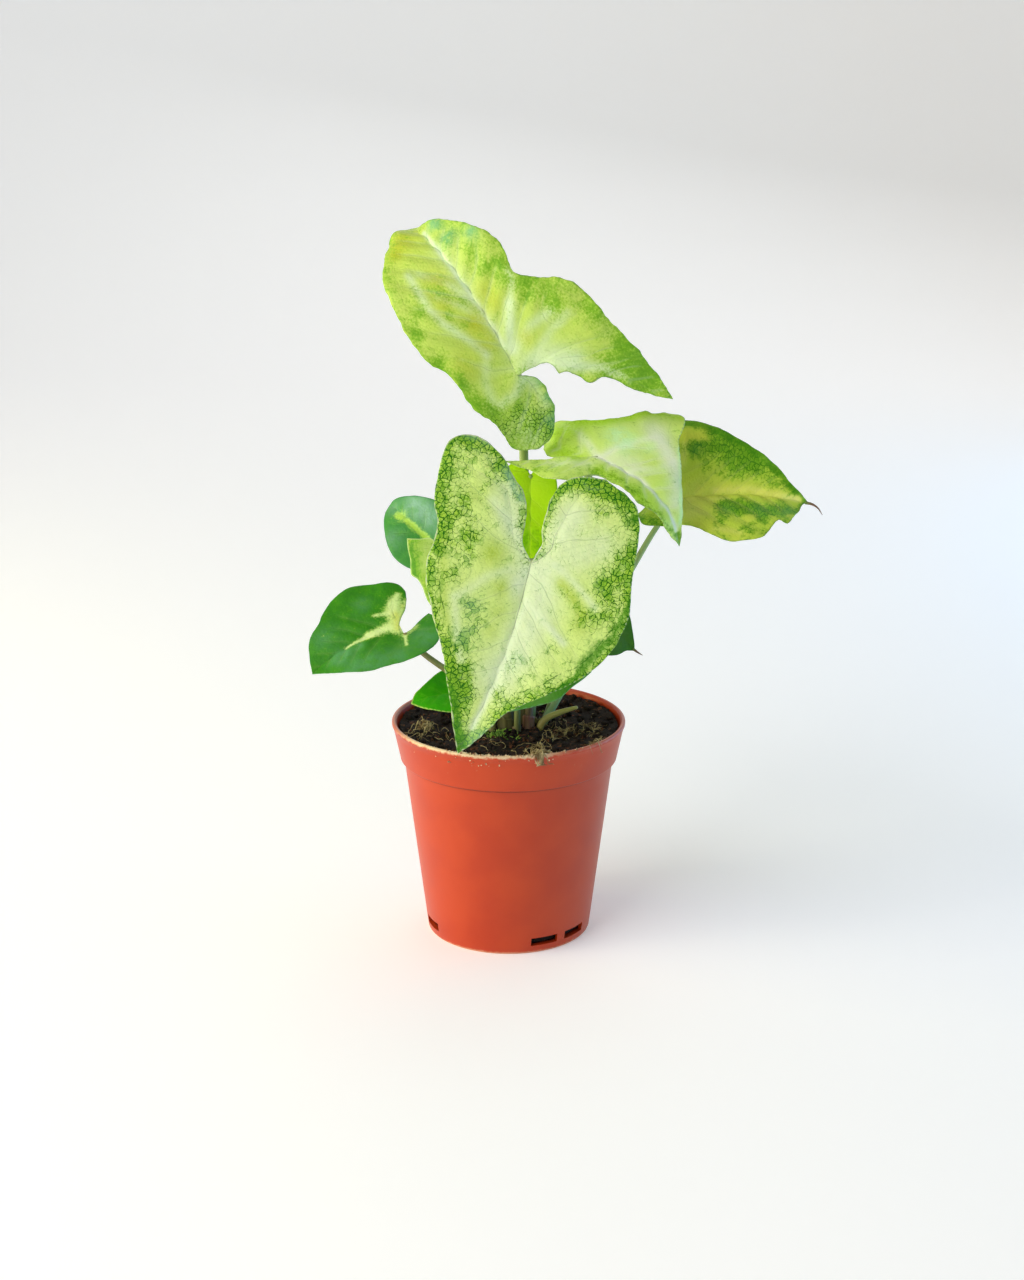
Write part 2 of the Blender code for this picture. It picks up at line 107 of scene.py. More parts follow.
LEAVES = {
    "top": dict(
        at=(2, -3, 134), heading=178, rise=54.5, roll=-82, length=48.5, sway=-2.3, tip_bend=85,
        fold=(12, 12),
        left_edge=((48.5, 0), (46, 5), (42.5, 7.5), (35, 12), (27, 14), (16, 15), (8.5, 12.5), (0, 12.5),
            (-6, 10.5), (-12, 10.5), (-15.5, 7), (-16, 3)),
        left_sinus=((-15, 0.5), (-11, -2.5), (-6, -3.5), (-3, -3.2)),
        right_edge=((48.5, 0), (44, -3), (39.5, -7), (34, -10.5), (27, -14), (19.5, -13), (16, -15),
            (11.5, -21), (7, -23), (-2, -24), (-13, -25.5), (-25, -25.5)),
        right_sinus=((-18.5, -20), (-14.5, -17.8), (-12.1, -16.4), (-11, -14.5), (-10.8, -12.2),
            (-9, -11.5), (-7.2, -10.8), (-5.3, -9.5), (-4.9, -8), (-3.2, -8.2), (-1.6, -7.3), (-0.8, -5.6)),
        size=(150, 44), ragged=0.35),
    "front": dict(
        at=(5, -22, 95.5), heading=-147, rise=-65, roll=-57, length=46.0, sway=1.8, tip_bend=15,
        left_edge=((46, 0), (40, 3.5), (33.5, 6.5), (27.5, 12), (21, 18.5), (13.5, 23), (4, 24.5),
            (-5, 22), (-13, 20.5), (-20, 17), (-23, 9)),
        left_sinus=((-21.3, 3), (-18.5, 0), (-14.5, -0.8), (-11, -0.6), (-8, -0.4), (-5, 0.8), (-2, 0.6)),
        right_edge=((46, 0), (41, -2.8), (36.2, -5.2), (30, -8.8), (24.2, -12), (19.2, -15.8),
            (15.8, -17.9), (11.5, -20.6), (6.5, -22), (3, -21.9), (-1.2, -22.6), (-5.5, -25),
            (-12.8, -26.4), (-17, -26.8), (-19.4, -26), (-21, -24.2), (-21.8, -21)),
        right_sinus=((-21, -17.2), (-19.3, -13.8), (-16.2, -10.3), (-14, -7.2), (-10, -5), (-4, -3.6)),
        size=(150, 44), ragged=0.2),
    "lime": dict(
        at=(20, -4, 115.5), heading=-30, rise=-16, roll=10, length=30, tip_bend=85, lobe_bend=(50, -10),
        fold=(22, 0), lobe_fold=(25, -5),
        left_edge=((30, 0), (26.5, 1.5), (21.5, 4), (16.5, 9), (11.5, 15.5), (9, 22.5), (5, 22.5),
            (3.4, 20.6), (2.5, 19.6), (1, 19.3), (-0.4, 17.2), (-1.5, 15.5), (-5.5, 11), (-10, 8.8),
            (-13.5, 9.8), (-16, 10), (-17.2, 7.5)),
        left_sinus=((-16.6, 4.5), (-15.2, 1.5), (-12.8, -2.3), (-10.3, -4), (-7, -3.6), (-3.5, -2)),
        right_edge=((30, 0), (24.5, -3.5), (19.5, -5), (15, -6.5), (9, -6.5), (4, -6), (2, -9), (0, -13),
            (-4, -14.5), (-10, -14), (-15, -15)), right_sinus=((-12.5, -13), (-8.5, -8.5), (-4, -4)),
        size=(130, 40), ragged=0.3),
    "right": dict(
        at=(37, 8, 103), heading=-12.5, rise=3.5, roll=37.5, length=32.5, sway=1.2, tip_bend=10,
        fold=(15, 15),
        left_edge=((32.5, 0), (28.5, 4.5), (23, 10.5), (16.5, 15.5), (8, 20.5), (1, 22), (-5, 19),
            (-9, 14), (-10, 8)), left_sinus=((-7, 3.5), (-3, 1.2)),
        right_edge=((32.5, 0), (31.2, -0.8), (30.2, -4), (28.6, -8.3), (27.4, -8.3), (26.2, -7.6),
            (24.5, -10.6), (22.5, -13.6), (17.5, -14.8), (13.8, -14.2), (9.2, -11.2), (5, -10), (0, -10),
            (-4.5, -9), (-6.5, -5)), right_sinus=((-4.5, -2.2), (-2, -1.2)), size=(120, 36), ragged=0.2),
    "inner": dict(
        at=(5, -5, 111.5), heading=-92, rise=-75, roll=-2, length=20, tip_bend=15, lobe_bend=(20, 20),
        left_edge=((20, 0), (15, 3), (10, 5), (4, 6), (0, 5.5), (-3, 3.5)), left_sinus=((-1.5, 1.2),),
        right_edge=((20, 0), (15, -3), (10, -5.5), (4, -6.5), (0, -6.5), (-3, -4)),
        right_sinus=((-1.5, -1.2),), size=(72, 20), ragged=0.1),
    "back_left": dict(
        at=(-18, 4, 94), heading=150, rise=34, roll=-56, length=15.5, tip_bend=50,
        left_edge=((15.7, 0), (14.2, 2.4), (10.8, 5.2), (7.8, 7), (5, 8.3), (2, 8.7), (-1.2, 8.1), (-5, 6),
            (-6, 3.5)), left_sinus=((-3, 1.2),),
        right_edge=((15.7, 0), (14.6, -1.9), (11.5, -4.4), (8.3, -6.4), (3, -8.5), (-2, -8), (-5, -6),
            (-6, -3.5)), right_sinus=((-3, -1.2),), size=(72, 24), ragged=0.08),
    "mid_left": dict(
        at=(-15.5, -5, 94.5), heading=-78, rise=-61, roll=29, length=18.5,
        left_edge=((18.5, 0), (12.5, 3), (6, 5.5), (0, 5.5), (-3, 4)), left_sinus=((-1.5, 1.2),),
        right_edge=((18.5, 0), (12.2, -4), (8.2, -5.2), (6.2, -6.2), (5.2, -7.4), (3.7, -7.5), (1.8, -7.3),
            (-0.7, -7.6), (-3.4, -7.6)), right_sinus=((-2.9, -4.8), (-2.6, -2)), size=(72, 22), ragged=0.08),
    "left": dict(
        at=(-24, -8, 75), heading=-161, rise=-14.5, roll=-26, length=23, sway=-2.5, fold=(10, 20),
        left_edge=((23, 0), (17.5, 4.3), (12.2, 7.5), (6.5, 8.6), (1.2, 9.4), (-1.8, 8.9), (-4.6, 7.2),
            (-6.8, 5), (-8.3, 1), (-8.6, -2), (-7.8, -4.3)), left_sinus=((-4.8, -2.9), (-1.9, -0.9)),
        right_edge=((23, 0), (21.6, -4.5), (19.8, -8.2), (16.4, -10.8), (14.8, -12.8), (11.5, -15.5),
            (6.5, -17), (2.2, -15.8), (-3, -13.6), (-4.4, -11), (-4, -8.5)),
        right_sinus=((-2.8, -6.2), (-0.6, -3.8), (0.6, -1.4)), size=(100, 34), ragged=0.12),
    "low_left": dict(
        at=(-9.5, -2, 59), heading=-157, rise=2.5, roll=-33, length=14, tip_bend=30,
        left_edge=((14, 0), (11.5, 3), (7.5, 5.5), (3.5, 6), (0.5, 4.8), (-2, 2.8)), left_sinus=((-1, 1),),
        right_edge=((14, 0), (12.5, -2), (10, -3.5), (5, -6.5), (1, -7.2), (-3, -6.5), (-4.5, -4)),
        right_sinus=((-2, -1.5),), size=(72, 20), ragged=0.1),
    "low_right": dict(
        at=(21, 10.5, 74.5), heading=-21.5, rise=-37.5, roll=42.5, length=12.5,
        left_edge=((12.5, 0), (10, 2), (6, 5), (3.5, 7), (0, 7.5), (-3.5, 6), (-4.5, 3.5)),
        left_sinus=((-2, 1.2),),
        right_edge=((12.5, 0), (11, -1.8), (10, -4.5), (8, -6.5), (3, -8), (-1, -7.5), (-4, -4.5)),
        right_sinus=((-2, -1.5),), size=(72, 20), ragged=0.1),
    "low_middle": dict(
        at=(2.5, -10, 67.5), heading=-19, rise=5, roll=52, length=17.0,
        left_edge=((17, 0), (13, 3.5), (7, 7), (1, 8), (-3, 6.5), (-5, 4)), left_sinus=((-2.5, 1.2),),
        right_edge=((17, 0), (14, -3.5), (10.5, -7.5), (7, -9), (2, -10.5), (-2, -11), (-5, -8.5),
            (-5.5, -5)), right_sinus=((-2.5, -1.5),), size=(72, 22), ragged=0.1),
}

# Colours and painted marks. A mark is (width, amount, then one point or a line of points), in flat
# millimetres. "hues" are sRGB hex colours, in the order of HUES.
# Density of the green net: "base" is its value everywhere, what the margin adds, and that band's width,
# and "cover" holds marks that add to it. "solid" and "solid_marks" are unbroken green. "lemon" and "pale"
# are tints, and the third, bluish tint is painted sheen, a painted reflection.
# The net: "net" is its strength, its cells per millimetre and the density where it starts, "stretch" its
# scale along and across, "fill" how strongly single cells are filled, "blur" the soft green under it,
# "crisp" how sharp its walls are (everywhere, then marks). "grain" weighs middle and fine noise in the
# density, "streak" streaks beside the side veins and "hatch" faint rows along them.
# Lines: "rib" is the midrib's strength and colour and "fade" how far along it fades, "veins" the side veins'
# spacing, pale band and thin line, "ring" the vein along the margin, "edge" the margin's colour and strength.
# Relief: "wave" at the margin, "quilt" between side veins, "groove" along the midrib, and the marks of
# "lift", in millimetres.
HUES = ("lime", "pale", "lemon", "leafy", "green", "deep", "painted_sheen")
USUAL_LOOK = dict(
    solid=0.0, cover=(), solid_marks=(), lemon=(), pale=(), painted_sheen=(), net=(0.3, 0.9, 0.3), stretch=(1.0, 1.0),
    fill=0.2, blur=0.3, crisp=(1.0,), grain=(1.3, 0.8), streak=0.5, hatch=0.03, rib=(0.0, "93a48a"), fade=26,
    ring=0.0, wave=0.3, quilt=0.3, groove=0.22, lift=(),
)

LOOKS = {
    "top": dict(
        hues="bed65e d4e8bc b8c228 a8d03c 66a018 2a6a04 62ab80", base=(0.24, 0.4, 2.2),
        cover=((2.4, 0.55, (24, -8)), (1.8, 0.5, (22, -11)), (2.0, 0.4, (18, -10)), (2.2, 0.5, (16, -13)),
            (2.6, 0.5, (11, -16)), (1.8, 0.5, (13, -12)), (2.5, 0.55, (7.5, -16.5)), (2.5, 0.5, (34, -5)),
            (2.2, 0.45, (28.5, -8)), (2.0, 0.6, (24, 10)), (1.2, 0.5, (19.5, 5)), (1.2, 0.5, (16, 3.5)),
            # The cover marks at (-9, -18), (-13, -22), (-18, -24) and (-8, -23) are partly painted shade:
            # besides the denser net by the margin, they darken the right lobe where it turns down and away.
            (1.5, 0.6, (20, 13)), (1.6, 0.3, (27, 1)), (3.5, 0.3, (-12, 3)), (3.0, 0.35, (-9, -18)),
            (4.0, 0.65, (-13, -22)), (3.5, 0.7, (-18, -24)), (3.0, 0.5, (-8, -23)), (3.0, 0.45, (2, -22)),
            (4.5, 0.4, (-11, 5)), (3.5, 0.4, (-13, 1)), (3.0, 0.4, (-6, 4)), (3.0, 0.45, (1, 11)),
            (2.0, 0.4, (6, 11.5)), (2.5, 0.4, (12, 13)), (3.0, 0.4, (-4, 9)),
            (1.5, 0.4, (28.5, 7), (23, 2), (17.5, -1.5)), (3.0, -0.25, (0, -8)), (2.0, -0.2, (8, -5))),
        solid_marks=((1.1, 0.5, (-9, -25), (-17, -25.5), (-24, -25.5)), (1.2, 0.4, (26, -13.8), (20, -13))),
        lemon=((2.8, 0.9, (15, 1)), (3.0, 0.7, (27.5, 2.5)), (1.6, 1.0, (39, 6.5)), (4.5, 0.9, (42, 4.5)),
            (3.0, 0.5, (19, -5)), (2.5, 0.5, (16, -5)), (2.0, 0.6, (6, -6.5)), (4.0, 0.5, (8, 9)),
            (3.0, 0.6, (10, 1)), (2.5, 0.6, (22, 4.5))),
        pale=((0.7, 1.0, (41, -1.7), (34, -2), (26, -2), (18, -2), (7, -1.5)),
            (2.4, 0.3, (33, -2.2), (7, -2), (0, -1.5)), (1.3, 0.85, (6, -2.5), (12, -6.5), (14, -8)),
            (0.9, 0.5, (14, -8), (17.5, -11.5), (20, -12)), (1.3, 0.5, (5, -3), (7.5, -9), (7.5, -14.5)),
            (1.0, 0.6, (32, 7), (23.5, 7.5), (18.5, 6.8), (14, 4.8), (8, 3)),
            (0.9, 0.45, (18, -2), (26, 1.2), (31, 5)), (0.8, 0.35, (12, -2), (20, 1.5), (24, 4.5)),
            (3.2, 0.75, (0, -5), (-1, -9), (-4, -12)),
            (1.3, 0.6, (-1, -6), (-5, -11.5), (-9, -16), (-14, -19.5)),
            (1.2, 0.4, (1, -5), (4, -12), (5, -17)), (1.3, 0.45, (-1, -1), (-3, 3), (-3, 7)),
            # The wide pale mark at (-13, 4) is painted light: it lightens the left lobe, which faces down and
            # away from the lamps.
            (1.2, 0.35, (-3, -2), (-9, -1.5)), (1.2, 0.35, (8, 3), (3, 7), (-1, 8)), (5.0, 0.55, (-13, 4))),
        painted_sheen=((2.0, 1.0, (40, -5)), (2.2, 0.8, (34.5, -5.5)), (2.0, 0.8, (31.5, -10.5)),
            (1.2, 0.7, (-4, -3.5)), (1.5, 0.6, (-8, -3)), (1.5, 0.6, (-13, -0.5))), rib=(0.45, "8fa873"),
        veins=(5.8, 0.16, 0.12), ring=0.15, edge=("49724a", 0.55), net=(1.0, 1.0, 0.15),
        crisp=(0.35, (6.0, 1.1, (-8, 9), (-9, 0), (-14, 3))), groove=0.08,
        lift=((3.0, 1.0, (46, 4)), (3.0, 0.9, (42, -6))), fill=0.14, blur=0.95, grain=(0.75, 1.6),
        streak=0.9, hatch=0.08, fade=10, stretch=(0.85, 1.1), wave=0.9),
    "front": dict(
        hues="cfe583 dae9bf b0c844 a4cc34 569a10 1c6400 9cc4a0", base=(0.10, 0.75, 2.6),
        cover=((2.4, 0.5, (-7.8, -19)), (2.0, 0.5, (-4.8, -19)), (3.2, 0.5, (-0.5, -15.5)),
            (2.6, 0.45, (3.5, -14)), (2.6, 0.42, (9, -16)), (3.2, 0.5, (13.5, -9.2)),
            (2.0, 0.35, (15.8, -6)), (3.0, 0.5, (20.5, -7.5)), (2.2, 0.4, (27, -4.5)),
            (2.2, 0.5, (32, -3)), (2.0, 0.65, (21, 4.8)), (1.8, 0.4, (16.2, 11)), (3.0, 0.35, (23.5, 6.2)),
            (3.0, 0.5, (29, 4)), (1.2, 0.4, (4.2, 9)), (2.2, 0.35, (9, 15)), (3.2, 0.6, (0, 18)),
            (3.0, 0.6, (5.5, 18.5)), (2.2, 0.4, (-4.5, 18.8)), (2.4, 0.25, (-10, 13)),
            (2.6, 0.5, (-8.5, 18)), (2.4, 0.45, (-2.5, 16)), (3.0, 0.35, (-20.5, 6.2)),
            (2.5, 0.3, (-15.5, 10)), (1.6, 0.4, (-16.5, 0)), (1.3, 0.35, (-13, -0.7)),
            (1.8, 0.45, (-19, 2.2)), (2.4, 0.45, (-17, -13)), (1.5, 0.4, (-13.5, -8)),
            (3.0, 0.5, (-19.5, -22)), (2.5, 0.35, (-13, -22)), (3.0, -0.3, (-14, 4)),
            (2.0, 0.25, (-16, -26), (-6, -23), (4, -19.5)), (1.5, 0.25, (2, 10), (7, 15)),
            (3.0, 0.9, (44, 0)), (2.4, 0.4, (24, -9), (34, -4.5)), (4.0, 0.2, (-14, -16)),
            (4.0, 0.2, (-4, -14)), (3.4, 0.5, (-21, 8), (-19, 14)), (3.0, 0.25, (28, -6), (38, -2))),
        solid_marks=((1.9, 0.9, (-21.5, 14)), (1.9, 0.9, (-17, 18)), (1.2, 0.5, (-10, 21.5)),
            (1.2, 0.9, (-2, 24), (9, 22.8), (20, 18.2), (30, 12.4), (38, 6)),
            (1.9, 0.7, (11, 20.5), (17, 18)),
            (0.8, 0.5, (-9, -26.6), (3, -21.6), (15, -17.6), (27, -10.6), (36, -4.8)), (2.6, 1.0, (45, 0)),
            (1.6, 1.0, (41, -1.6), (45, 0)), (1.4, 0.9, (32, -6.6), (38, -3.4), (44, -0.6)),
            (0.9, 0.5, (-22, -20), (-20, -26), (-14, -27))),
        lemon=((2.6, 0.9, (1, -9)), (1.8, 0.8, (7.5, -4.2)), (2.2, 0.45, (12.5, -3)),
            # The olive line from (2, 8) to (7, 15) is painted shade beside a side vein.
            (1.4, 0.8, (2, 8), (4, 11.5), (7, 15)), (2.2, 0.6, (9, 15)), (3.0, 0.4, (-20, 8)),
            (1.2, 0.5, (0, -21), (15, -15.2), (30, -7.2)), (2.5, 0.35, (-10, -17)), (2.0, 0.4, (17, -3))),
        pale=((5.0, 0.85, (0, 3), (10, 5), (20, 4), (26, 2)), (2.6, 0.9, (2, 0), (5.5, -1)),
            (4.0, 0.8, (-8, 4), (-13, 5)), (4.0, 0.6, (-5, 9), (-9, 13)), (3.5, 0.6, (-8, -8), (-13, -10)),
            (0.9, 1.0, (8, 2.2), (22, 2.2), (34, 1.4), (39, 0.9)), (0.9, 0.8, (9, 3), (11.5, 8), (14, 13)),
            (0.9, 0.6, (-1.5, 5), (1, 11), (4.5, 17)), (1.2, 0.5, (-2, -2), (-6, -7), (-10, -13)),
            (3.0, 0.5, (-2, -3), (-5, -6)), (1.2, 0.5, (13, -13.5), (20, -10.2), (27, -6.6)),
            (1.2, 0.45, (3, -4), (6, -8), (12, -12.5))),
        painted_sheen=((3.0, 0.25, (13.5, -9)), (3.0, 0.2, (20, -8)), (3.2, 0.3, (40, 3)), (2.0, 0.3, (21, 5)),
            (1.0, 0.6, (-17, -12.5), (-12, -6.6)), (1.2, 0.5, (-22, -18), (-22, -24)),
            (1.2, 0.5, (36, 7.5), (42, 3))), rib=(0.7, "8a9a78"), veins=(6.4, 0.08, 0.2), ring=0.75,
        edge=("c9d0b0", 0.7), net=(1.0, 0.88, 0.04), quilt=0.14, fill=0.45, blur=0.36, streak=0.3,
        hatch=0.07, fade=14, wave=0.35, crisp=(1.14,)),
    "lime": dict(
        hues="d2f074 f4fee0 aee010 98cc14 74b004 488c00 ccfcb8", base=(0.14, 0.16, 2.0),
        cover=((3.0, 0.22, (-12, -13), (-5, -11.5), (2, -6)),
            (2.0, 0.3, (3, -4.5), (9, -4.2), (15, -5.8), (21, -6)), (2.0, 0.2, (-13, 7)),
            (2.4, 0.12, (-14, 2), (-8, 0)), (1.6, 0.25, (-6, 8)), (2.0, 0.2, (16, 8))),
        solid_marks=((1.8, 0.95, (26, -0.3), (30, 0)), (1.3, 0.6, (11, -6), (19, -4.4), (25, -2.8)),
            (1.3, 0.3, (-4, 7), (-2.5, 5))),
        lemon=((4.0, 0.9, (-10, 5)), (3.2, 0.9, (-14, 5.5)), (3.0, 0.9, (-12, -1), (-4, -3.5)),
            (2.4, 0.7, (4, -4.2), (15, -5.5)), (1.6, 0.95, (-9.5, 8.5), (-4.8, 10.7), (-1, 15)),
            (1.6, 0.9, (-1, 15.5), (3, 20.5), (8, 22.3)), (2.5, 0.5, (13, -4.5), (20, -3.5)),
            (2.5, 0.35, (14, 5), (18, 3)), (3.0, 0.3, (-5, -11))),
        pale=((0.7, 0.95, (0, 0), (7, -0.6), (12, 0), (18, -1), (26, -0.2)),
            (1.0, 0.6, (0, 0), (-7, 4.5), (-12, 7)), (2.4, 0.75, (8, 13), (14, 9), (20, 3)),
            (3.0, 0.5, (3, 1.5), (8, 2)), (1.0, 0.5, (1, 1), (3, 6), (7, 12)),
            (1.6, 0.4, (-6, -9), (0, -4)), (1.0, 0.4, (9, 1), (13, 5), (14, 10)), (3.0, 0.5, (6, 15))),
        painted_sheen=((3.2, 0.95, (3.2, 7)), (2.6, 0.8, (0, 8.5)),
            (0.7, 0.9, (13, 13.6), (17, 8.2), (21, 3.8), (25, 1.6)), (2.0, 0.4, (8, 9))),
        veins=(4.8, 0.22, 0.03), ring=0.15, edge=("8d9f74", 0.6), net=(0.6, 1.0, 0.3), fill=0.3, blur=0.55,
        streak=0.9, wave=0.7),
    "right": dict(
        hues="b4ce44 e4e48c d4da50 8cba28 569808 307400 5c9c54", base=(0.12, 0.2, 3.0),
        cover=((3.0, 0.9, (5, 14.3)), (2.6, 0.8, (10, 13.8)), (2.8, 0.75, (14, 11.8)),
            (2.6, 0.75, (18, 10)), (2.4, 0.6, (20.5, 7.5)), (2.4, 0.5, (24, 6)), (2.0, 0.6, (28, 3)),
            (3.0, 0.35, (8, 9)), (3.0, 0.35, (14, 8)), (2.2, 0.85, (13, -2.8), (17, -2.6), (22, -4)),
            (2.0, 0.75, (15, -5.5), (19, -5)), (2.6, 0.8, (27, -3.5)), (1.6, 0.5, (22, -8), (24, -5)),
            (2.0, 0.4, (13, -8.5)), (2.0, 0.5, (19, -11)), (1.6, 0.3, (21, -12)),
            (1.4, -0.5, (3, 17), (6, 16.5)), (1.2, -0.35, (19.5, -7.5)), (2.5, 0.5, (-4, -8), (0, -9.5)),
            (2.5, 0.5, (10, 18), (18, 13)), (3.5, 0.35, (16, 7)), (3.0, -0.3, (7, 0))),
        solid_marks=((2.1, 1.0, (-3, 20.5), (1, 21.6), (8, 20), (16.5, 15), (23, 10), (28.5, 4.3), (32, 0.5)),
            (1.6, 0.35, (16, -3.2), (21, -4.2)), (1.6, 0.6, (27, -3.5)),
            (0.8, 0.6, (22, -13), (28, -7.8), (31, -1)), (1.4, 0.4, (5, 14)),
            (1.0, 0.6, (-6, -5), (-4, -8.6), (0, -9.6))),
        lemon=((2.4, 0.8, (3, 17), (8, 16.5)), (6.0, 0.6, (8, 0)), (2.0, 0.7, (13, 2.6), (25, 1.6)),
            (2.5, 0.5, (8, -9), (18, -13.5)), (1.5, 0.5, (19.5, -8))),
        # The first pale mark, from (6, 0) to (6, -5), is painted light: it lightens where the lime leaf casts
        # its shadow.
        pale=((4.0, 0.6, (6, 0), (6, -5)), (0.9, 0.7, (11, 2.2), (19, 2.4), (25, 1.4), (30, 0.5)),
            (0.6, 0.4, (0, 0), (8, -0.6), (14, -0.8)), (0.8, 0.35, (12, -11), (18, -12.5)),
            (0.9, 0.4, (0, 3), (3, 9), (3, 15))),
        painted_sheen=((2.5, 0.4, (22, -4.2)), (3.0, 0.6, (28, -4)), (2.0, 0.3, (14, -4.5)), (2.0, 0.3, (6, 13))),
        veins=(4.6, 0.1, 0.05), edge=("4c6a3c", 0.55), net=(0.85, 1.0, 0.3), fill=0.45, blur=0.6,
        grain=(0.9, 1.2), streak=1.1, hatch=0.05, stretch=(1.35, 0.6), wave=0.45),
    "inner": dict(
        # These bright hues are partly the young leaf's own colour and partly painted light: lifted for light
        # shining through it and where the lime leaf shades it.
        hues="c4f410 d4fa40 d4f430 a4dc04 7ec800 5cae00 c8ee50", base=(0.0, 0.1, 1.5),
        cover=((5.0, 0.15, (16, 0)),), solid_marks=((4.5, 0.75, (15, 0)),), lemon=((5.0, 0.4, (3, 0)),),
        pale=((0.3, 0.45, (0, 0), (18, 0)),), rib=(0.2, "6f9c10"), veins=(4.2, 0.35, 0.05),
        edge=("78ac14", 0.5), streak=0.6, wave=0.25),
    "back_left": dict(
        hues="94cc48 b4dc68 b5d83a 84be34 479238 2e7a30 8fb9a2", base=(0.2, 0.1, 2.0), solid=1.0,
        lemon=((1.4, 0.8, (10, 0.6), (2, 0.2)),),
        pale=((1.3, 0.75, (10.6, 0.8), (9.4, 0.5)), (0.9, 1.0, (7.6, 0.3), (1, 0.1)),
            (1.0, 0.4, (10, 0.8), (9.5, -1))),
        painted_sheen=((3.0, 0.9, (4, -4), (9, -3.8)), (2.0, 0.4, (13, 0)), (2.5, 0.4, (7, 6)),
            (3.0, 0.8, (-1, -5))), veins=(3.2, 0.06, 0.05), edge=("2f6f52", 0.6), wave=0.35),
    "mid_left": dict(
        hues="98ba44 b8d078 b8be28 80b02c 5c981a 3c8408 b6d98e", base=(0.34, 0.2, 1.6),
        cover=((1.2, 0.4, (-3, -6), (5, -6)),),
        solid_marks=((0.8, 1.0, (-2, -6.7), (0, -6.8), (5, -6.8)), (0.5, 0.6, (6, -6), (12, -3.6))),
        lemon=((0.9, 1.0, (-3.2, -7.3)), (2.0, 0.4, (8, -3))), pale=((2.0, 0.6, (-2, -2), (4, -3)),),
        veins=(3.4, 0.15, 0.05), edge=("cfe2a4", 0.5), net=(0.5, 0.9, 0.3), streak=0.8),
    "left": dict(
        hues="b2d848 dcf0a0 d4dc58 7cb428 3f8c10 267414 6caa78", base=(0.3, 0.1, 2.0), solid=1.0,
        lemon=((1.2, 0.8, (0.6, -2), (0, -5)), (0.8, 0.5, (-2.5, -7))),
        pale=((2.1, 1.0, (0.4, -2), (0.3, -6), (-1, -8)), (1.2, 1.0, (0.3, -2.2), (3.5, -3), (7.5, -2.8)),
            (0.6, 1.0, (7.5, -2.8), (13.4, -2.2)), (0.6, 0.8, (0.3, -6), (4.6, -6.9)),
            (0.8, 0.8, (0, -8), (-2.5, -10.2)), (0.55, 0.85, (0.1, 0.8), (0.9, 4.2)),
            (0.8, 0.5, (-1, 0.2), (-4, -1.7)), (0.35, 0.5, (17, -7.5)), (0.7, 0.6, (0.2, -3), (-3.6, -8))),
        painted_sheen=((2.0, 0.6, (14.5, -0.5)), (1.4, 0.7, (11, -0.8)), (2.0, 0.4, (6, -11)),
            (2.2, 0.5, (16.5, 0.2)), (3.5, 0.5, (-4, 4)), (3.0, 0.45, (4, 7), (14, 5)),
            (3.0, 0.35, (17, -7))), veins=(4.2, 0.04, 0.04), edge=("2b6a3c", 0.5), wave=0.4),
    "low_left": dict(
        hues="64c810 8cd828 79bb2a 50b400 44b400 2c9c00 60bc30", base=(0.3, 0.1, 1.5), solid=1.0,
        pale=((0.3, 0.35, (0, 0), (12, 0)),), veins=(3.4, 0.1, 0.06), edge=("c2d66e", 0.8), wave=0.25),
    "low_right": dict(
        hues="5f8f34 6f9a3e 86a840 508828 447a1a 2c5e10 6f945a", base=(0.3, 0.1, 1.5), solid=1.0,
        painted_sheen=((4.0, 0.5, (6, -2)),), veins=(3.4, 0.08, 0.06), edge=("3f5f34", 0.5), wave=0.25),
    "low_middle": dict(
        hues="72ac48 90c060 9fc450 60a038 4c9422 347c14 88b468", base=(0.3, 0.1, 1.5), solid=1.0,
        painted_sheen=((6.0, 0.6, (5, -5)),), veins=(3.6, 0.08, 0.06), edge=("79b488", 0.5), wave=0.25),
}

SLOT_OF = {
    "top": "leaf_top", "front": "leaf_front", "lime": "leaf_lime", "right": "leaf_right",
    "inner": "leaf_bright", "mid_left": "leaf_mid_left", "back_left": "leaf_dark", "left": "leaf_left",
    "low_left": "leaf_low", "low_right": "leaf_dark", "low_middle": "leaf_low_middle",
}

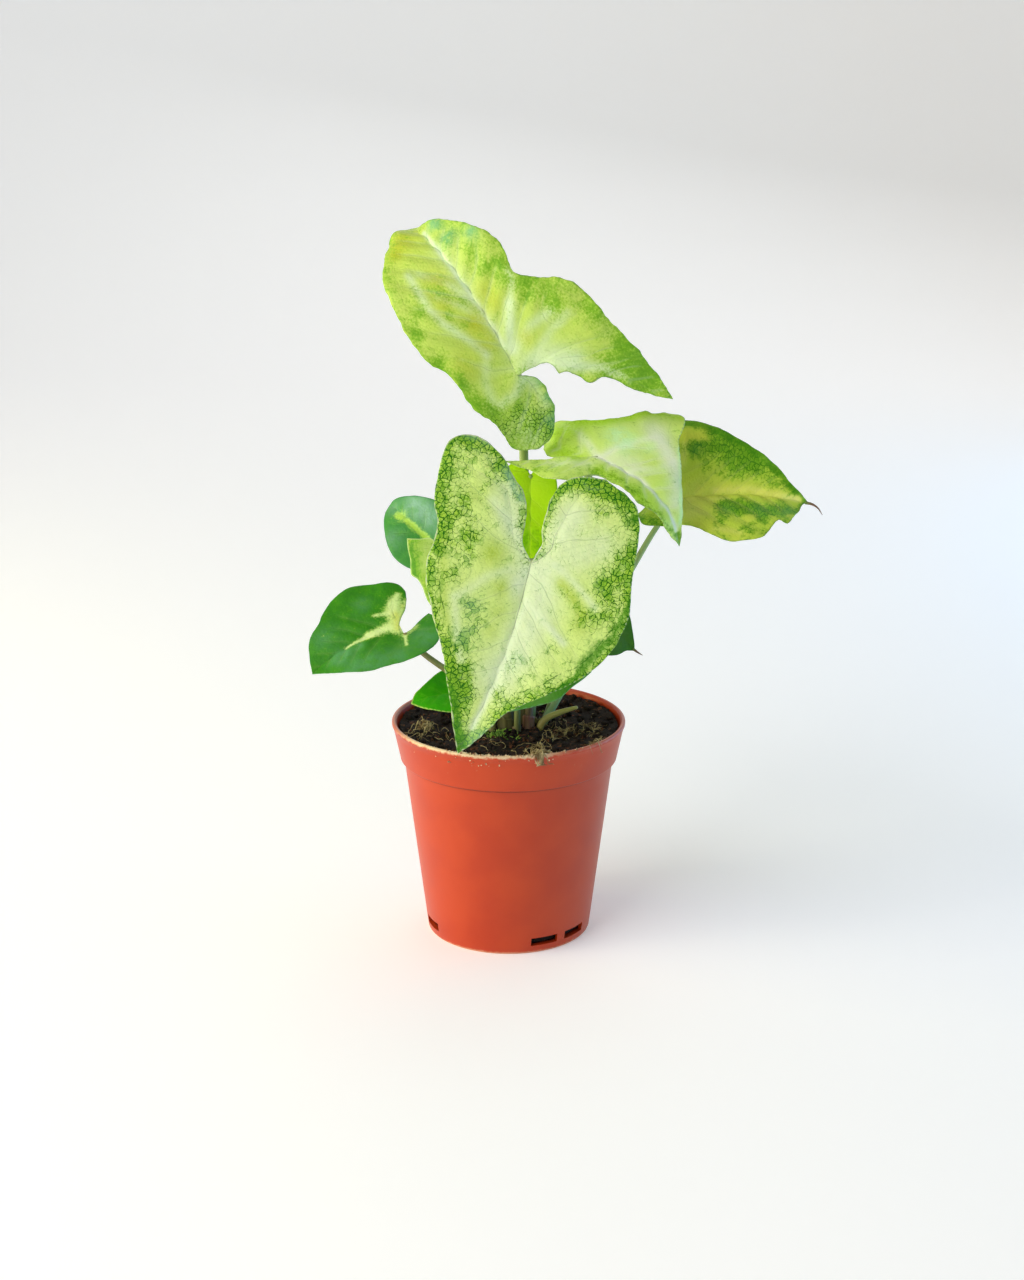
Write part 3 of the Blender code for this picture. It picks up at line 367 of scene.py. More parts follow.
# Stems, repeated from the solids: foot on the soil, radius at the foot and under the blade, points on the
# way up, and a colour for each end
STEMS = {
    "top": dict(foot=(3.6, -0.8), radius=(1.4, 0.85), way=((3.7, -0.9, 75), (3.5, -1.0, 115)),
                hues=("5c5a28", "8aa050")),
    "front": dict(foot=(-0.6, -3.2), radius=(1.6, 0.9),
                  way=((-0.2, -2.6, 70), (1.8, -5.5, 83), (4.2, -13.0, 91.0)), hues=("5a5226", "a6b878")),
    "lime": dict(foot=(4.8, 3.2), radius=(1.2, 0.8), way=((8.0, 2.6, 75), (15.5, -0.6, 103)),
                 hues=("9fae78", "9db36c")),
    "right": dict(foot=(7.6, -0.8), radius=(0.95, 0.5),
                  way=((10.4, 0.2, 54.5), (30.9, 6.5, 90.4), (35.2, 7.6, 97.5)), hues=("9fc486", "93ab6c")),
    "inner": dict(foot=(4.6, -4.6), radius=(0.9, 0.5), way=((5.6, -4.0, 75), (5.3, -3.7, 104)),
                  hues=("6e5440", "9db36c")),
    "back_left": dict(foot=(-2.6, 2.6), radius=(1.0, 0.6), way=((-6.5, 4.4, 68), (-15.0, 5.4, 88)),
                      hues=("9fae78", "7f9a50")),
    "mid_left": dict(foot=(-4.6, -0.6), radius=(0.9, 0.55), way=((-8.5, -1.2, 70), (-13.8, -3.0, 89)),
                     hues=("9fae78", "9db36c")),
    "left": dict(foot=(-4.0, -4.8), radius=(1.0, 0.6),
                 way=((-4.9, -4.9, 57), (-8.5, -5.5, 61.2), (-19.0, -6.9, 69.4)), hues=("8f8a52", "85824a")),
    "low_left": dict(foot=(-7.2, 1.6), radius=(0.8, 0.5), way=((-7.9, 0.6, 54),), hues=("9fae78", "6fa030")),
    "low_right": dict(foot=(8.6, 2.8), radius=(0.8, 0.5), way=((12.6, 6.2, 61), (18.6, 10.2, 71.0)),
                      hues=("9fae78", "7f9a50")),
    "low_middle": dict(foot=(2.0, -6.2), radius=(0.8, 0.5), way=((2.1, -7.4, 60),),
                       hues=("5a4a30", "7f9a50")),
}

SHOOT_FOOT = (7.3, -4.2)
SHOOT_WAY = ((7.3, -4.2, 51.0), (8.8, -4.3, 53.2), (12.0, -4.2, 54.7), (16.0, -4.0, 55.9))
SHOOT_RADII = (0.8, 0.85, 0.9, 0.85, 0.7, 0.4)

# Where straw and root fibres gather: (x, y, spread in x, spread in y, heading in degrees or None for any, how
# many, rise above the soil, least radius, greatest radius, how curly)
TUFTS = (
    (-19.4, -4.0, 0.9, 1.8, None, 34, 2.2, 0.05, 0.18, 0.8),
    (-20.4, -8.0, 1.2, 2.0, None, 12, 1.0, 0.05, 0.12, 0.5),
    (7.4, -16.0, 0.8, 3.0, -95, 26, 1.8, 0.05, 0.14, 0.6),
    (6.6, -23.0, 0.9, 1.2, -100, 34, 1.8, 0.06, 0.19, 0.8),
    (6.8, -26.4, 0.7, 0.4, -90, 14, 0.4, 0.06, 0.17, 0.9),
    (8.6, -5.0, 0.2, 2.0, -88, 2, 2.4, 0.1, 0.14, 0.15),
    (9.6, -12.0, 0.9, 2.0, 70, 10, 1.8, 0.05, 0.1, 0.4),
    (14.5, -6.5, 4.0, 3.4, 85, 50, 0.9, 0.04, 0.09, 0.4),
    (18.5, -5.0, 2.4, 3.4, 60, 18, 0.8, 0.04, 0.09, 0.5),
    (18.6, -16.8, 1.2, 1.2, -60, 14, 0.8, 0.05, 0.12, 0.6),
    (20.6, -11.5, 0.8, 1.6, -60, 6, 0.8, 0.05, 0.1, 0.5),
    (12.0, 0.0, 5.0, 4.0, None, 10, 0.8, 0.05, 0.1, 0.5),
    (-14.0, -8.0, 5.0, 4.0, None, 10, 0.7, 0.06, 0.12, 0.5),
    (-2.0, -14.0, 5.0, 4.0, None, 8, 0.6, 0.06, 0.12, 0.5),
    (6.0, 14.0, 8.0, 6.0, None, 14, 0.7, 0.06, 0.14, 0.5),
    (-10.0, 13.0, 8.0, 6.0, None, 12, 0.7, 0.06, 0.14, 0.5),
)

# Moss: (x, y, how many leaflets)
MOSS = ((-2.4, -9.0, 80), (-6.0, -8.0, 26), (1.5, -10.0, 12), (-1.6, -7.0, 40), (-9, 4, 20), (9, 9, 20))

# Dry leaf bases round the stems: (x, y, radius, height, degrees it faces, degrees it spans, hues). They all
# have one foot, one count of steps up and round, and one thickness.
SHEATHS = (
    (4.7, -4.5, 1.3, 4.2, -100, 230, ("4a3028", "8a5e50")),
    (-0.6, -3.4, 1.9, 3.4, -110, 210, ("3c3620", "5c5830")),
    (7.4, -1.2, 1.3, 2.6, -60, 200, ("4a4028", "666438")),
    (1.9, -6.0, 1.0, 1.8, -95, 200, ("3c3022", "5c4c34")),
)
SHEATH_FOOT = 48.6
SHEATH_SIZE = (14, 22)
SHEATH_THICK = 0.2

# The dry hair-like tips of two leaves, as points, and their radius at both ends
TIPS = {
    "right": ((68.3, 2.1, 103.5), (70.0, 1.9, 103.1), (71.3, 1.7, 102.2), (72.3, 1.5, 100.7)),
    "low_right": ((29.5, 8.1, 66.5), (30.6, 7.9, 65.7), (31.8, 7.7, 65.0)),
}
TIP_RADII = (0.4, 0.06)

# How many crumbs are strewn over the soil, and specks on the rim
CRUMBS = 620
RIM_SPECKS = 150

# Photograph's camera, in metres, with its focal length in the photograph's own pixels
CAMERA_AT = (0.0008, -0.5213, 0.2274)
CAMERA_DOWN = 16.69
FOCAL_PIXELS = 2332
PHOTO_HEIGHT = 1280
SENSOR = 36.0


# Materials

def rgb(text):
    """A linear colour from sRGB hex."""
    parts = [int(text[k:k + 2], 16) / 255 for k in (0, 2, 4)]
    return tuple(p / 12.92 if p <= 0.04045 else ((p + 0.055) / 1.055) ** 2.4 for p in parts) + (1.0,)


class Wire:
    """A node's output. The sum, product and so on of wires is a Math node's output."""

    def __init__(self, skin, socket):
        self.skin = skin
        self.socket = socket

    def __add__(self, other):
        return self.skin.math("ADD", self, other)

    def __sub__(self, other):
        return self.skin.math("SUBTRACT", self, other)

    def __mul__(self, other):
        return self.skin.math("MULTIPLY", self, other)

    def __truediv__(self, other):
        return self.skin.math("DIVIDE", self, other)

    def __abs__(self):
        return self.skin.math("ABSOLUTE", self)


class Skin:
    """A node material under construction, whose colour is laid on in layers."""

    def __init__(self, name, roughness=0.5):
        self.material = bpy.data.materials.new(name)
        self.material.use_nodes = True
        self.tree = self.material.node_tree
        self.shader = self.tree.nodes["Principled BSDF"]
        self.set("Roughness", roughness)

    def put(self, socket, value):
        """Links a wire, or writes a number, a vector or a hex colour."""
        if isinstance(value, Wire):
            self.tree.links.new(value.socket, socket)
        else:
            socket.default_value = rgb(value) if isinstance(value, str) else value

    def set(self, name, value):
        self.put(self.shader.inputs[name], value)

    def wire(self, kind, inputs=(), output=0, **settings):
        """One output of a new node."""
        made = self.tree.nodes.new("ShaderNode" + kind)
        for key, value in settings.items():
            setattr(made, key, value)
        for key, value in dict(inputs).items():
            self.put(made.inputs[key], value)
        return Wire(self, made.outputs[output])

    def math(self, operation, first, second=0.0):
        return self.wire("Math", {0: first, 1: second}, operation=operation)

    def vector(self, operation, first, second):
        return self.wire("VectorMath", {0: first, 1: second}, operation=operation)

    def parts(self, vector):
        """The three parts of a vector."""
        node = self.wire("SeparateXYZ", {0: vector}).socket.node
        return [Wire(self, output) for output in node.outputs]

    def step(self, value, low, high, start=0.0, end=1.0):
        """start below low, end above high, and smooth between."""
        inputs = {"Value": value, "From Min": low, "From Max": high, "To Min": start, "To Max": end}
        return self.wire("MapRange", inputs, interpolation_type="SMOOTHSTEP")

    def mix(self, share, first, second):
        return self.wire("Mix", {0: share, 6: first, 7: second}, 2, data_type="RGBA")

    def noise(self, where, scale, detail=2.0, rough=0.5, output="Fac"):
        inputs = {"Vector": where, "Scale": scale, "Detail": detail, "Roughness": rough}
        return self.wire("TexNoise", inputs, output)

    def attribute(self, name):
        """A vector that the mesh holds, and its three parts."""
        vector = self.wire("Attribute", output="Vector", attribute_name=name)
        return vector, *self.parts(vector)

    def place(self):
        """Where a point is on its piece, in millimetres."""
        return self.vector("MULTIPLY", self.wire("TexCoord", output="Object"), (1000, 1000, 1000))

    def bump(self, height, depth, strength):
        inputs = {"Height": height, "Distance": depth * MM, "Strength": strength}
        self.set("Normal", self.wire("Bump", inputs))

    def lay(self, hue, share):
        """Covers a share of the colour so far with another."""
        self.colour = self.mix(share, self.colour, hue)

    def done(self):
        self.set("Base Color", self.colour)
        return self.material


def leaf_skin(name, look):
    """A leaf's surface, from its pale ground up to its margin."""
    s = Skin("leaf_" + name)
    hues = dict(zip(HUES, look["hues"].split()))
    flat, _, _, back = s.attribute("flat")
    _, along, rib, edge = s.attribute("vein")
    _, cover, solid, lemon = s.attribute("paint")
    # The tint attribute holds the pale marks, the painted bluish sheen (a painted reflection) and the
    # crispness.
    _, pale, painted_sheen, crisp = s.attribute("tint")
    fine = s.noise(flat, 1.9, 3, 0.6) - 0.5
    middle = s.noise(flat, 0.42, 3, 0.55) - 0.5
    broad = s.noise(flat, 0.11) - 0.5
    wander = s.vector("MULTIPLY", s.noise(flat, 0.7, 3, output="Color"), (1.5, 1.5, 0))
    bent = s.vector("MULTIPLY", s.vector("ADD", flat, wander), (*look["stretch"], 0))

    def cells(scale, output, feature="F1"):
        """An output of a net of cells that wander a little."""
        return s.wire("TexVoronoi", {"Vector": bent, "Scale": scale}, output,
                      voronoi_dimensions="2D", feature=feature)

    def from_wall(scale):
        return cells(scale, "Distance", "DISTANCE_TO_EDGE")

    def from_line(turn):
        """0 on each line of an even row, and 0.5 halfway between."""
        return abs(s.math("FRACT", turn) - 0.5)

    # Pale ground, greener where the net is denser
    drawn = s.wire("CombineXYZ", {0: along * 0.8, 1: rib * 0.16})
    streaks = s.noise(drawn, 1.0, 3, 0.6) - 0.5
    coarse, grit = look["grain"]
    level = cover + (middle * coarse + fine * s.step(crisp, 0.35, 1.0, grit, 0.8)) + streaks * look["streak"]
    s.colour = s.mix(pale, hues["lime"], hues["pale"])
    s.lay(hues["lemon"], lemon * s.step(fine, -0.25, 0.1, 0.6, 1))
    s.lay(hues["leafy"], s.step(level, 0.3, 1.0, 0, 0.95))

    # The green net: cells with thin dark walls, broken where it is sparse, with finer walls inside them
    strength, scale, start = look["net"]
    broken = level + fine * 0.8
    sharp_level = level * crisp
    soft = s.step(level + middle * (0.6 * coarse), 0.25, 1.4, 0, look["blur"])
    s.lay(hues["green"], soft * s.step(sharp_level, 0.4, 0.9, 1, 0.3))
    wall = from_wall(scale)
    main = s.step(wall - s.step(sharp_level, 0.2, 1.2, 0.01, 0.1), -0.04, 0.04, 1, 0)
    main = main * s.step(broken, start, start + 0.3, 0, strength)
    small = s.step(from_wall(2.2 * scale) - s.step(sharp_level, 0.3, 1.2, 0.01, 0.08), -0.06, 0.06, 1, 0)
    small = small * s.step(broken, start + 0.15, start + 0.7, 0, 0.6 * strength)
    choice = s.parts(cells(scale, "Color"))[0]
    s.lay(hues["green"], s.step(level - choice, 0.0, 0.5, 0, look["fill"]))
    net = s.math("MAXIMUM", small, main) * crisp
    s.lay(s.mix(s.step(level, 0.2, 0.6), hues["green"], hues["deep"]), net)

    # Unbroken green, and over all a painted bluish sheen: a painted reflection where its marks lie
    flesh = s.mix(s.step(middle, -0.15, 0.15, 0.15, 0.6) + net * 0.3, hues["green"], hues["deep"])
    body = solid - pale * 1.25 + (middle * 0.8 + fine * 0.6)
    if look["solid"]:
        s.lay(flesh, s.step(body + fine, -0.15, 0.85))
    else:
        s.lay(flesh, s.step(body, 0.35, 0.95, 0, 0.85))
    s.lay(hues["painted_sheen"], painted_sheen * s.step(middle, -0.2, 0.1, 0.4, 0.9))

    # Side veins, which fade towards the margin, and faint rows beside them
    spacing, band, thread = look["veins"]
    off = from_line(along / spacing + broad * 0.5) * spacing
    reach = abs(rib) / (abs(rib) + (edge + 0.01))
    inside = s.step(reach + middle * 0.6, 0.45, 0.85, 1, 0)
    thin = s.step(off, 0.03, 0.13, 1, 0) * inside
    s.lay(hues["pale"], s.step(off, 0.0, 1.0, 1, 0) * inside * band)
    s.lay(hues["deep"], thin * thread)
    rows = s.step(from_line(along / 1.3 + middle * 0.9), 0.03, 0.2, look["hatch"], 0)
    s.lay(hues["green"], rows * s.step(abs(rib), 0.8, 2.0))

    # The midrib's line, the vein along the margin, the margin and the leaf's back
    strength, hue = look["rib"]
    centre = s.step(abs(rib), 0.05, 0.17, 1, 0) * s.step(along, look["fade"], look["fade"] + 8, 1, 0)
    s.lay(hue, centre * s.step(along, -8, -2, 0.25, 1) * strength)
    ring = s.step(abs(edge - (broad * 3.0 + 2.6)), 0.04, 0.16, 1, 0) * s.step(middle, -0.1, 0.05)
    s.lay(hues["deep"], ring * s.step(abs(rib), 5.5, 7.5) * look["ring"])
    hue, strength = look["edge"]
    s.lay(hue, s.step(edge, 0.06, 0.34, 1, 0) * strength)
    s.lay(s.mix(0.5, s.colour, "a9c48a"), back)

    s.bump(wall * 1.2 + fine * 0.5 - thin * 0.8, 0.09, 0.7)
    s.set("Roughness", s.step(middle, -0.2, 0.2, 0.42, 0.55))
    s.set("Specular IOR Level", 0.17)
    s.set("Subsurface Weight", 0.1)
    s.set("Subsurface Scale", 0.0012)
    s.set("Subsurface Radius", (0.6, 1.0, 0.2))
    return s.done()


def stem_skin(name, low, high, contrast=0.3):
    """A smooth green stalk with faint lengthwise streaks, changing colour from foot to blade."""
    s = Skin("skin_" + name)
    where, _, _, share = s.attribute("flat")
    streaks = s.noise(s.vector("MULTIPLY", where, (0.12, 1.6, 0)), 1.0, 3)
    blotch = s.noise(where, 0.35)
    s.colour = s.mix(s.step(share, 0.05, 0.8), low, high)
    s.lay("b4c486", s.step(streaks, 0.45, 0.75, 0, contrast) * s.step(share, 0.05, 0.4, 0.15, 1))
    s.lay("6f6a38", s.step(blotch, 0.5, 0.8, 0, 0.35))
    s.lay("30281a", s.step(share, 0.0, 0.16, 0.75, 0))
    s.bump(streaks, 0.08, 0.5)
    s.set("Roughness", s.step(blotch, 0.3, 0.7, 0.34, 0.48))
    return s.done()


def pot_skin():
    """Terracotta-coloured plastic with a crust on the front of the rim, a pale foot and a painted shade line
    under the band.
    """
    s = Skin("pot_plastic")
    where = s.place()
    side, front, height = s.parts(where)
    cloud = s.noise(where, 0.09, 3)
    speck = s.noise(where, 0.9, 4, 0.65)
    grain = s.noise(where, 5.0)
    scuff = s.noise(s.vector("MULTIPLY", where, (1.0, 1.0, 0.12)), 1.3, 4, 0.7)
    s.colour = s.mix(s.step(cloud, 0.3, 0.7), "b4360c", "bd3e10")
    s.lay("d8683c", s.step(scuff, 0.66, 0.85, 0, 0.05))
    # A darker line just under the band's foot: painted shade under the band's overhang.
    s.lay("6e2416", s.step(abs(height - (BAND_FOOT_Z - 0.25)), 0.1, 0.45, 0.6, 0))
    crust = s.step(height + speck * 1.8, POT_HEIGHT, POT_HEIGHT + 0.7)
    s.lay("dfc9a0", crust * (s.step(side, 6, 14, 1, 0.15) * s.step(front, -20, -6, 1, 0.2)) * 0.9)
    s.lay("dca27c", s.step(height - speck * 1.2, -0.35, 0.2, 1, 0) * 0.7)
    s.lay("b98a64", s.step(speck, 0.62, 0.74) * s.step(height, 40, POT_HEIGHT, 0, 0.35))
    s.bump(grain * 0.2 + cloud, 0.05, 0.3)
    s.set("Roughness", s.step(cloud, 0.3, 0.8, 0.36, 0.42))
    s.set("Specular IOR Level", 0.4)
    return s.done()


def soil_skin(name):
    """Dark peat with brown flecks."""
    s = Skin(name, 0.95)
    where = s.place()
    coarse = s.noise(where, 0.35, 4, 0.65)
    grain = s.noise(where, 2.2, 4, 0.7)
    fleck = s.parts(s.wire("TexVoronoi", {"Vector": where, "Scale": 1.1}, "Color"))[0]
    s.colour = s.mix(s.step(grain, 0.35, 0.7), "120d0b", "332721")
    s.lay("3e2a20", s.step(coarse, 0.5, 0.75, 0, 0.7))
    s.lay("7a4a2c", s.step(fleck, 0.86, 0.94) * s.step(grain, 0.4, 0.6))
    s.bump(grain + coarse, 0.6, 0.9)
    s.set("Specular IOR Level", 0.25)
    return s.done()


def straw_skin():
    s = Skin("straw", 0.8)
    where = s.attribute("flat")[0]
    s.colour = s.mix(s.step(s.noise(s.place(), 0.5, 1), 0.35, 0.65), "6f5c34", "bfae7c")
    s.lay("6b4a2a", s.step(s.noise(where, 1.5), 0.5, 0.75, 0, 0.5))
    return s.done()


def dry_tip_skin():
    s = Skin("dry_tip", 0.7)
    where, _, _, share = s.attribute("flat")
    s.colour = s.mix(s.step(share, 0.0, 0.35), "5f8030", "6b4a34")
    s.lay("8c6a4c", s.step(s.noise(where, 2.0), 0.45, 0.7, 0, 0.5))
    return s.done()


def mottled_skin(name, roughness, scale, spread, low, high):
    """One colour here and another there; spread is how wide the change between them is."""
    s = Skin(name, roughness)
    s.colour = s.mix(s.step(s.noise(s.place(), scale), 0.5 - spread, 0.5 + spread), low, high)
    return s.done()


def stage_skin():
    s = Skin("stage", 0.9)
    s.colour = (0.95, 0.95, 0.95, 1)
    s.set("Emission Color", (1, 1, 1, 1))
    s.set("Emission Strength", 0.15)
    s.set("Specular IOR Level", 0.1)
    return s.done()


# Shape code that several pieces use

def smoothed(points, per_span=8):
    """A Catmull-Rom curve through the points, as an array."""
    pts = np.array(points, float)
    ends = np.vstack([2 * pts[0] - pts[1], pts, 2 * pts[-1] - pts[-2]])
    out = []
    for p0, p1, p2, p3 in zip(ends, ends[1:], ends[2:], ends[3:]):
        for t in np.arange(per_span) / per_span:
            a = 2 * p1 + (p2 - p0) * t
            b = (2 * p0 - 5 * p1 + 4 * p2 - p3) * t * t
            c = (3 * p1 - p0 - 3 * p2 + p3) * t ** 3
            out.append((a + b + c) / 2)
    return np.array(out + [pts[-1]])


def travelled(line):
    """How far along the line each of its points lies."""
    return np.concatenate([[0], np.cumsum(np.linalg.norm(np.diff(line, axis=0), axis=1))])


def spaced(line, count):
    """The line resampled to count steps of equal length."""
    length = travelled(line)
    at = np.linspace(0, length[-1], count + 1)
    return np.stack([np.interp(at, length, line[:, k]) for k in range(line.shape[1])], 1)


def eased(share):
    """A share from 0 to 1 that starts and ends gently."""
    share = np.clip(share, 0, 1)
    return share * share * (3 - 2 * share)


def swell(points, scale, seed):
    """Smooth noise from -1 to 1 at each point."""
    shift = Vector((seed * 7.3, seed * 3.1, seed * 1.7))
    return np.array([noise.noise(Vector(p) * scale + shift) for p in points.tolist()])


def unit(vectors):
    return vectors / np.maximum(np.linalg.norm(vectors, axis=-1, keepdims=True), 1e-9)


def turned(angles):
    """The rotation by three angles in radians, as an array."""
    return np.array(Euler(angles).to_matrix())


def grid_faces(size, first, flip):
    """Quads over a grid of points whose index starts at first. flip turns them to face the other way."""
    rows, columns = size
    index = first + np.arange(rows * columns).reshape(size)
    quads = np.stack([index[:-1, :-1], index[1:, :-1], index[1:, 1:], index[:-1, 1:]], -1).reshape(-1, 4)
    return quads[:, ::-1] if flip else quads


def point_normals(points, faces):
    corner = points[faces]
    across = np.cross(corner[:, 2] - corner[:, 0], corner[:, 3] - corner[:, 1])
    total = np.zeros_like(points)
    for k in range(4):
        np.add.at(total, faces[:, k], across)
    return unit(total)


def open_edges(faces, count):
    """The edges that only one face has, in that face's direction."""
    ends = np.concatenate([faces[:, [k, (k + 1) % 4]] for k in range(4)])
    ends = ends[ends[:, 0] != ends[:, 1]]
    key = ends[:, 0] * count + ends[:, 1]
    back = ends[:, 1] * count + ends[:, 0]
    return ends[~np.isin(key, back)]


def closed_rings(rings, first, last, flip=False):
    """Points and faces of a surface through rings of points, closed by a point at each end. Its faces
    look outward where the rings run anticlockwise seen from the last end, and flip turns them round."""
    rings = np.array(rings, float)
    count, steps = rings.shape[:2]
    here = np.arange(count * steps).reshape(count, steps)
    beside = np.roll(here, -1, axis=1)
    quads = np.stack([here[:-1], beside[:-1], beside[1:], here[1:]], -1).reshape(-1, 4)
    foot = np.stack([0 * here[0] + count * steps, beside[0], here[0]], -1)
    head = np.stack([0 * here[0] + count * steps + 1, here[-1], beside[-1]], -1)
    faces = quads.tolist() + foot.tolist() + head.tolist()
    if flip:
        faces = [[face[0]] + face[:0:-1] for face in faces]
    return np.vstack([rings.reshape(-1, 3), first, last]), faces


def tube(points, radii, sides=16, squash=1.0):
    """A closed tube with rounded ends along the points. Returns its points, its faces, and for each
    point how far along and round it lies and its share of the length."""
    line = np.array(points, float)
    radii = np.array(radii, float)
    ways = unit(np.gradient(line, axis=0))
    side = unit(np.cross(ways[0], (0, 0, 1.0) if abs(ways[0][2]) < 0.9 else (1.0, 0, 0)))
    length = travelled(line)
    angles = np.arange(sides) * 2 * math.pi / sides
    rings, around = [], []
    for at, way, radius, far in zip(line, ways, radii, length):
        side = unit(side - way * np.dot(side, way))
        other = squash * np.cross(way, side)
        rings.append(at + radius * (np.cos(angles)[:, None] * side + np.sin(angles)[:, None] * other))
        around.append(np.stack([np.full(sides, far), angles * radius, np.full(sides, far / length[-1])], 1))
    foot = line[0] - ways[0] * radii[0] * 0.4
    head = line[-1] + ways[-1] * radii[-1] * 0.6
    around.append([[0, 0, 0], [length[-1], 0, 1]])
    return *closed_rings(rings, foot, head), np.vstack(around)


def joined(parts):
    """The points and faces of several meshes as one mesh."""
    faces = []
    base = 0
    for part in parts:
        faces += [[corner + base for corner in face] for face in part[1]]
        base += len(part[0])
    return np.vstack([part[0] for part in parts]), faces


def ball():
    """A round ball of 80 triangles: an icosahedron with each face split in four."""
    phi = (1 + 5 ** 0.5) / 2
    points = [(0, a, b * phi) for a in (-1, 1) for b in (-1, 1)]
    points = unit(np.array([np.roll(point, k) for point in points for k in range(3)]))
    edge = np.linalg.norm(points[:, None] - points[None], axis=2)
    close = edge < 1.1 * edge[edge > 0].min()
    corners = [(i, j, k) for i in range(12) for j in range(i) for k in range(j)
               if close[i, j] and close[j, k] and close[k, i]]
    corners = [face if np.linalg.det(points[list(face)]) > 0 else face[::-1] for face in corners]
    points = list(points)
    middle = {}
    faces = []

    def between(i, j):
        key = frozenset((i, j))
        if key not in middle:
            middle[key] = len(points)
            points.append(unit(points[i] + points[j]))
        return middle[key]

    for i, j, k in corners:
        a, b, c = between(i, j), between(j, k), between(k, i)
        faces += [(i, a, c), (j, b, a), (k, c, b), (a, b, c)]
    return np.array(points), faces


def lump(shape, rough, scale, seed, size, rng):
    """The shape made uneven, scaled and turned at random."""
    uneven = shape * (1 + rough * swell(shape, scale, seed)[:, None])
    return uneven * size @ turned(rng.uniform(0, 6.28, 3).tolist())


def linked(name, data):
    obj = bpy.data.objects.new(name, data)
    bpy.context.scene.collection.objects.link(obj)
    return obj


def piece(name, points, faces, skin, slot, replaces=(), attributes=None, sharp=None):
    """A mesh piece that rides on the plant, from points in millimetres."""
    mesh = bpy.data.meshes.new(name)
    mesh.from_pydata((np.asarray(points, float) * MM).tolist(), [], [list(face) for face in faces])
    mesh.validate()
    for key, values in (attributes or {}).items():
        layer = mesh.attributes.new(key, "FLOAT_VECTOR", "POINT")
        layer.data.foreach_set("vector", np.asarray(values, np.float32).ravel())
    mesh.materials.append(skin)
    mesh.shade_smooth()
    if sharp:
        mesh.set_sharp_from_angle(angle=math.radians(sharp))
    obj = linked(name, mesh)
    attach(obj, "root")
    for node in replaces:
        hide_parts(node)
    return obj


# Leaf blades

def arc_of_bend(length, bend):
    """Steps along a curl that tightens as it goes, and how far forward, how high and how steep each is."""
    t = np.linspace(0, 1.3, 61)
    pitch = np.radians(bend) * t * t
    step = length * t[1]
    middle = (pitch[1:] + pitch[:-1]) / 2
    forward = np.concatenate([[0], np.cumsum(np.cos(middle)) * step])
    height = np.concatenate([[0], np.cumsum(-np.sin(middle)) * step])
    return t * length, forward, height, pitch


def leaf_turn(leaf):
    return turned([math.radians(angle) for angle in (leaf["roll"], -leaf["rise"], leaf["heading"])])


def leaf_points(leaf, side, flat):
    """Flat leaf points (along, sideways) carried onto the bent and folded blade, in its own frame."""
    a = flat[:, 0]
    length = leaf["length"]
    half = 0 if side > 0 else 1
    sway = leaf["sway"] * np.sin(np.pi * np.clip(a / length, 0, 1))
    out = side * (flat[:, 1] - sway)
    tip = arc_of_bend(length, leaf["tip_bend"])
    lobe = arc_of_bend(length / 2, leaf["lobe_bend"][half])
    ahead = a >= 0
    x = np.where(ahead, np.interp(a, tip[0], tip[1]), -np.interp(-a, lobe[0], lobe[1]))
    z = np.where(ahead, np.interp(a, tip[0], tip[2]), np.interp(-a, lobe[0], lobe[2]))
    pitch = np.where(ahead, -np.interp(a, tip[0], tip[3]), np.interp(-a, lobe[0], lobe[3]))
    change = leaf["lobe_fold"][half] - leaf["fold"][half]
    fold = np.radians(leaf["fold"][half] + change * eased(-a / (length / 2)))
    curl = np.radians(CROSS_CURL) / (length / 2)
    across = (np.sin(fold + curl * out) - np.sin(fold)) / curl
    height = (np.cos(fold) - np.cos(fold + curl * out)) / curl
    return np.stack([x - np.sin(pitch) * height, side * across + sway, z + np.cos(pitch) * height], 1)


def ragged(line, depth, seed, calm=2.0):
    """The line with small scallops, smooth near both of its ends."""
    far = travelled(line)
    along = unit(np.gradient(line, axis=0))
    normal = np.stack([along[:, 1], -along[:, 0]], 1)
    spots = np.column_stack([far * 0.42, far * 0, far * 0])
    scallops = swell(spots, 1.0, seed) + 0.5 * swell(spots, 2.3, seed + 3)
    ends = np.clip(far / calm, 0, 1) * np.clip((far[-1] - far) / calm, 0, 1)
    return line + normal * (depth * scallops * ends)[:, None]


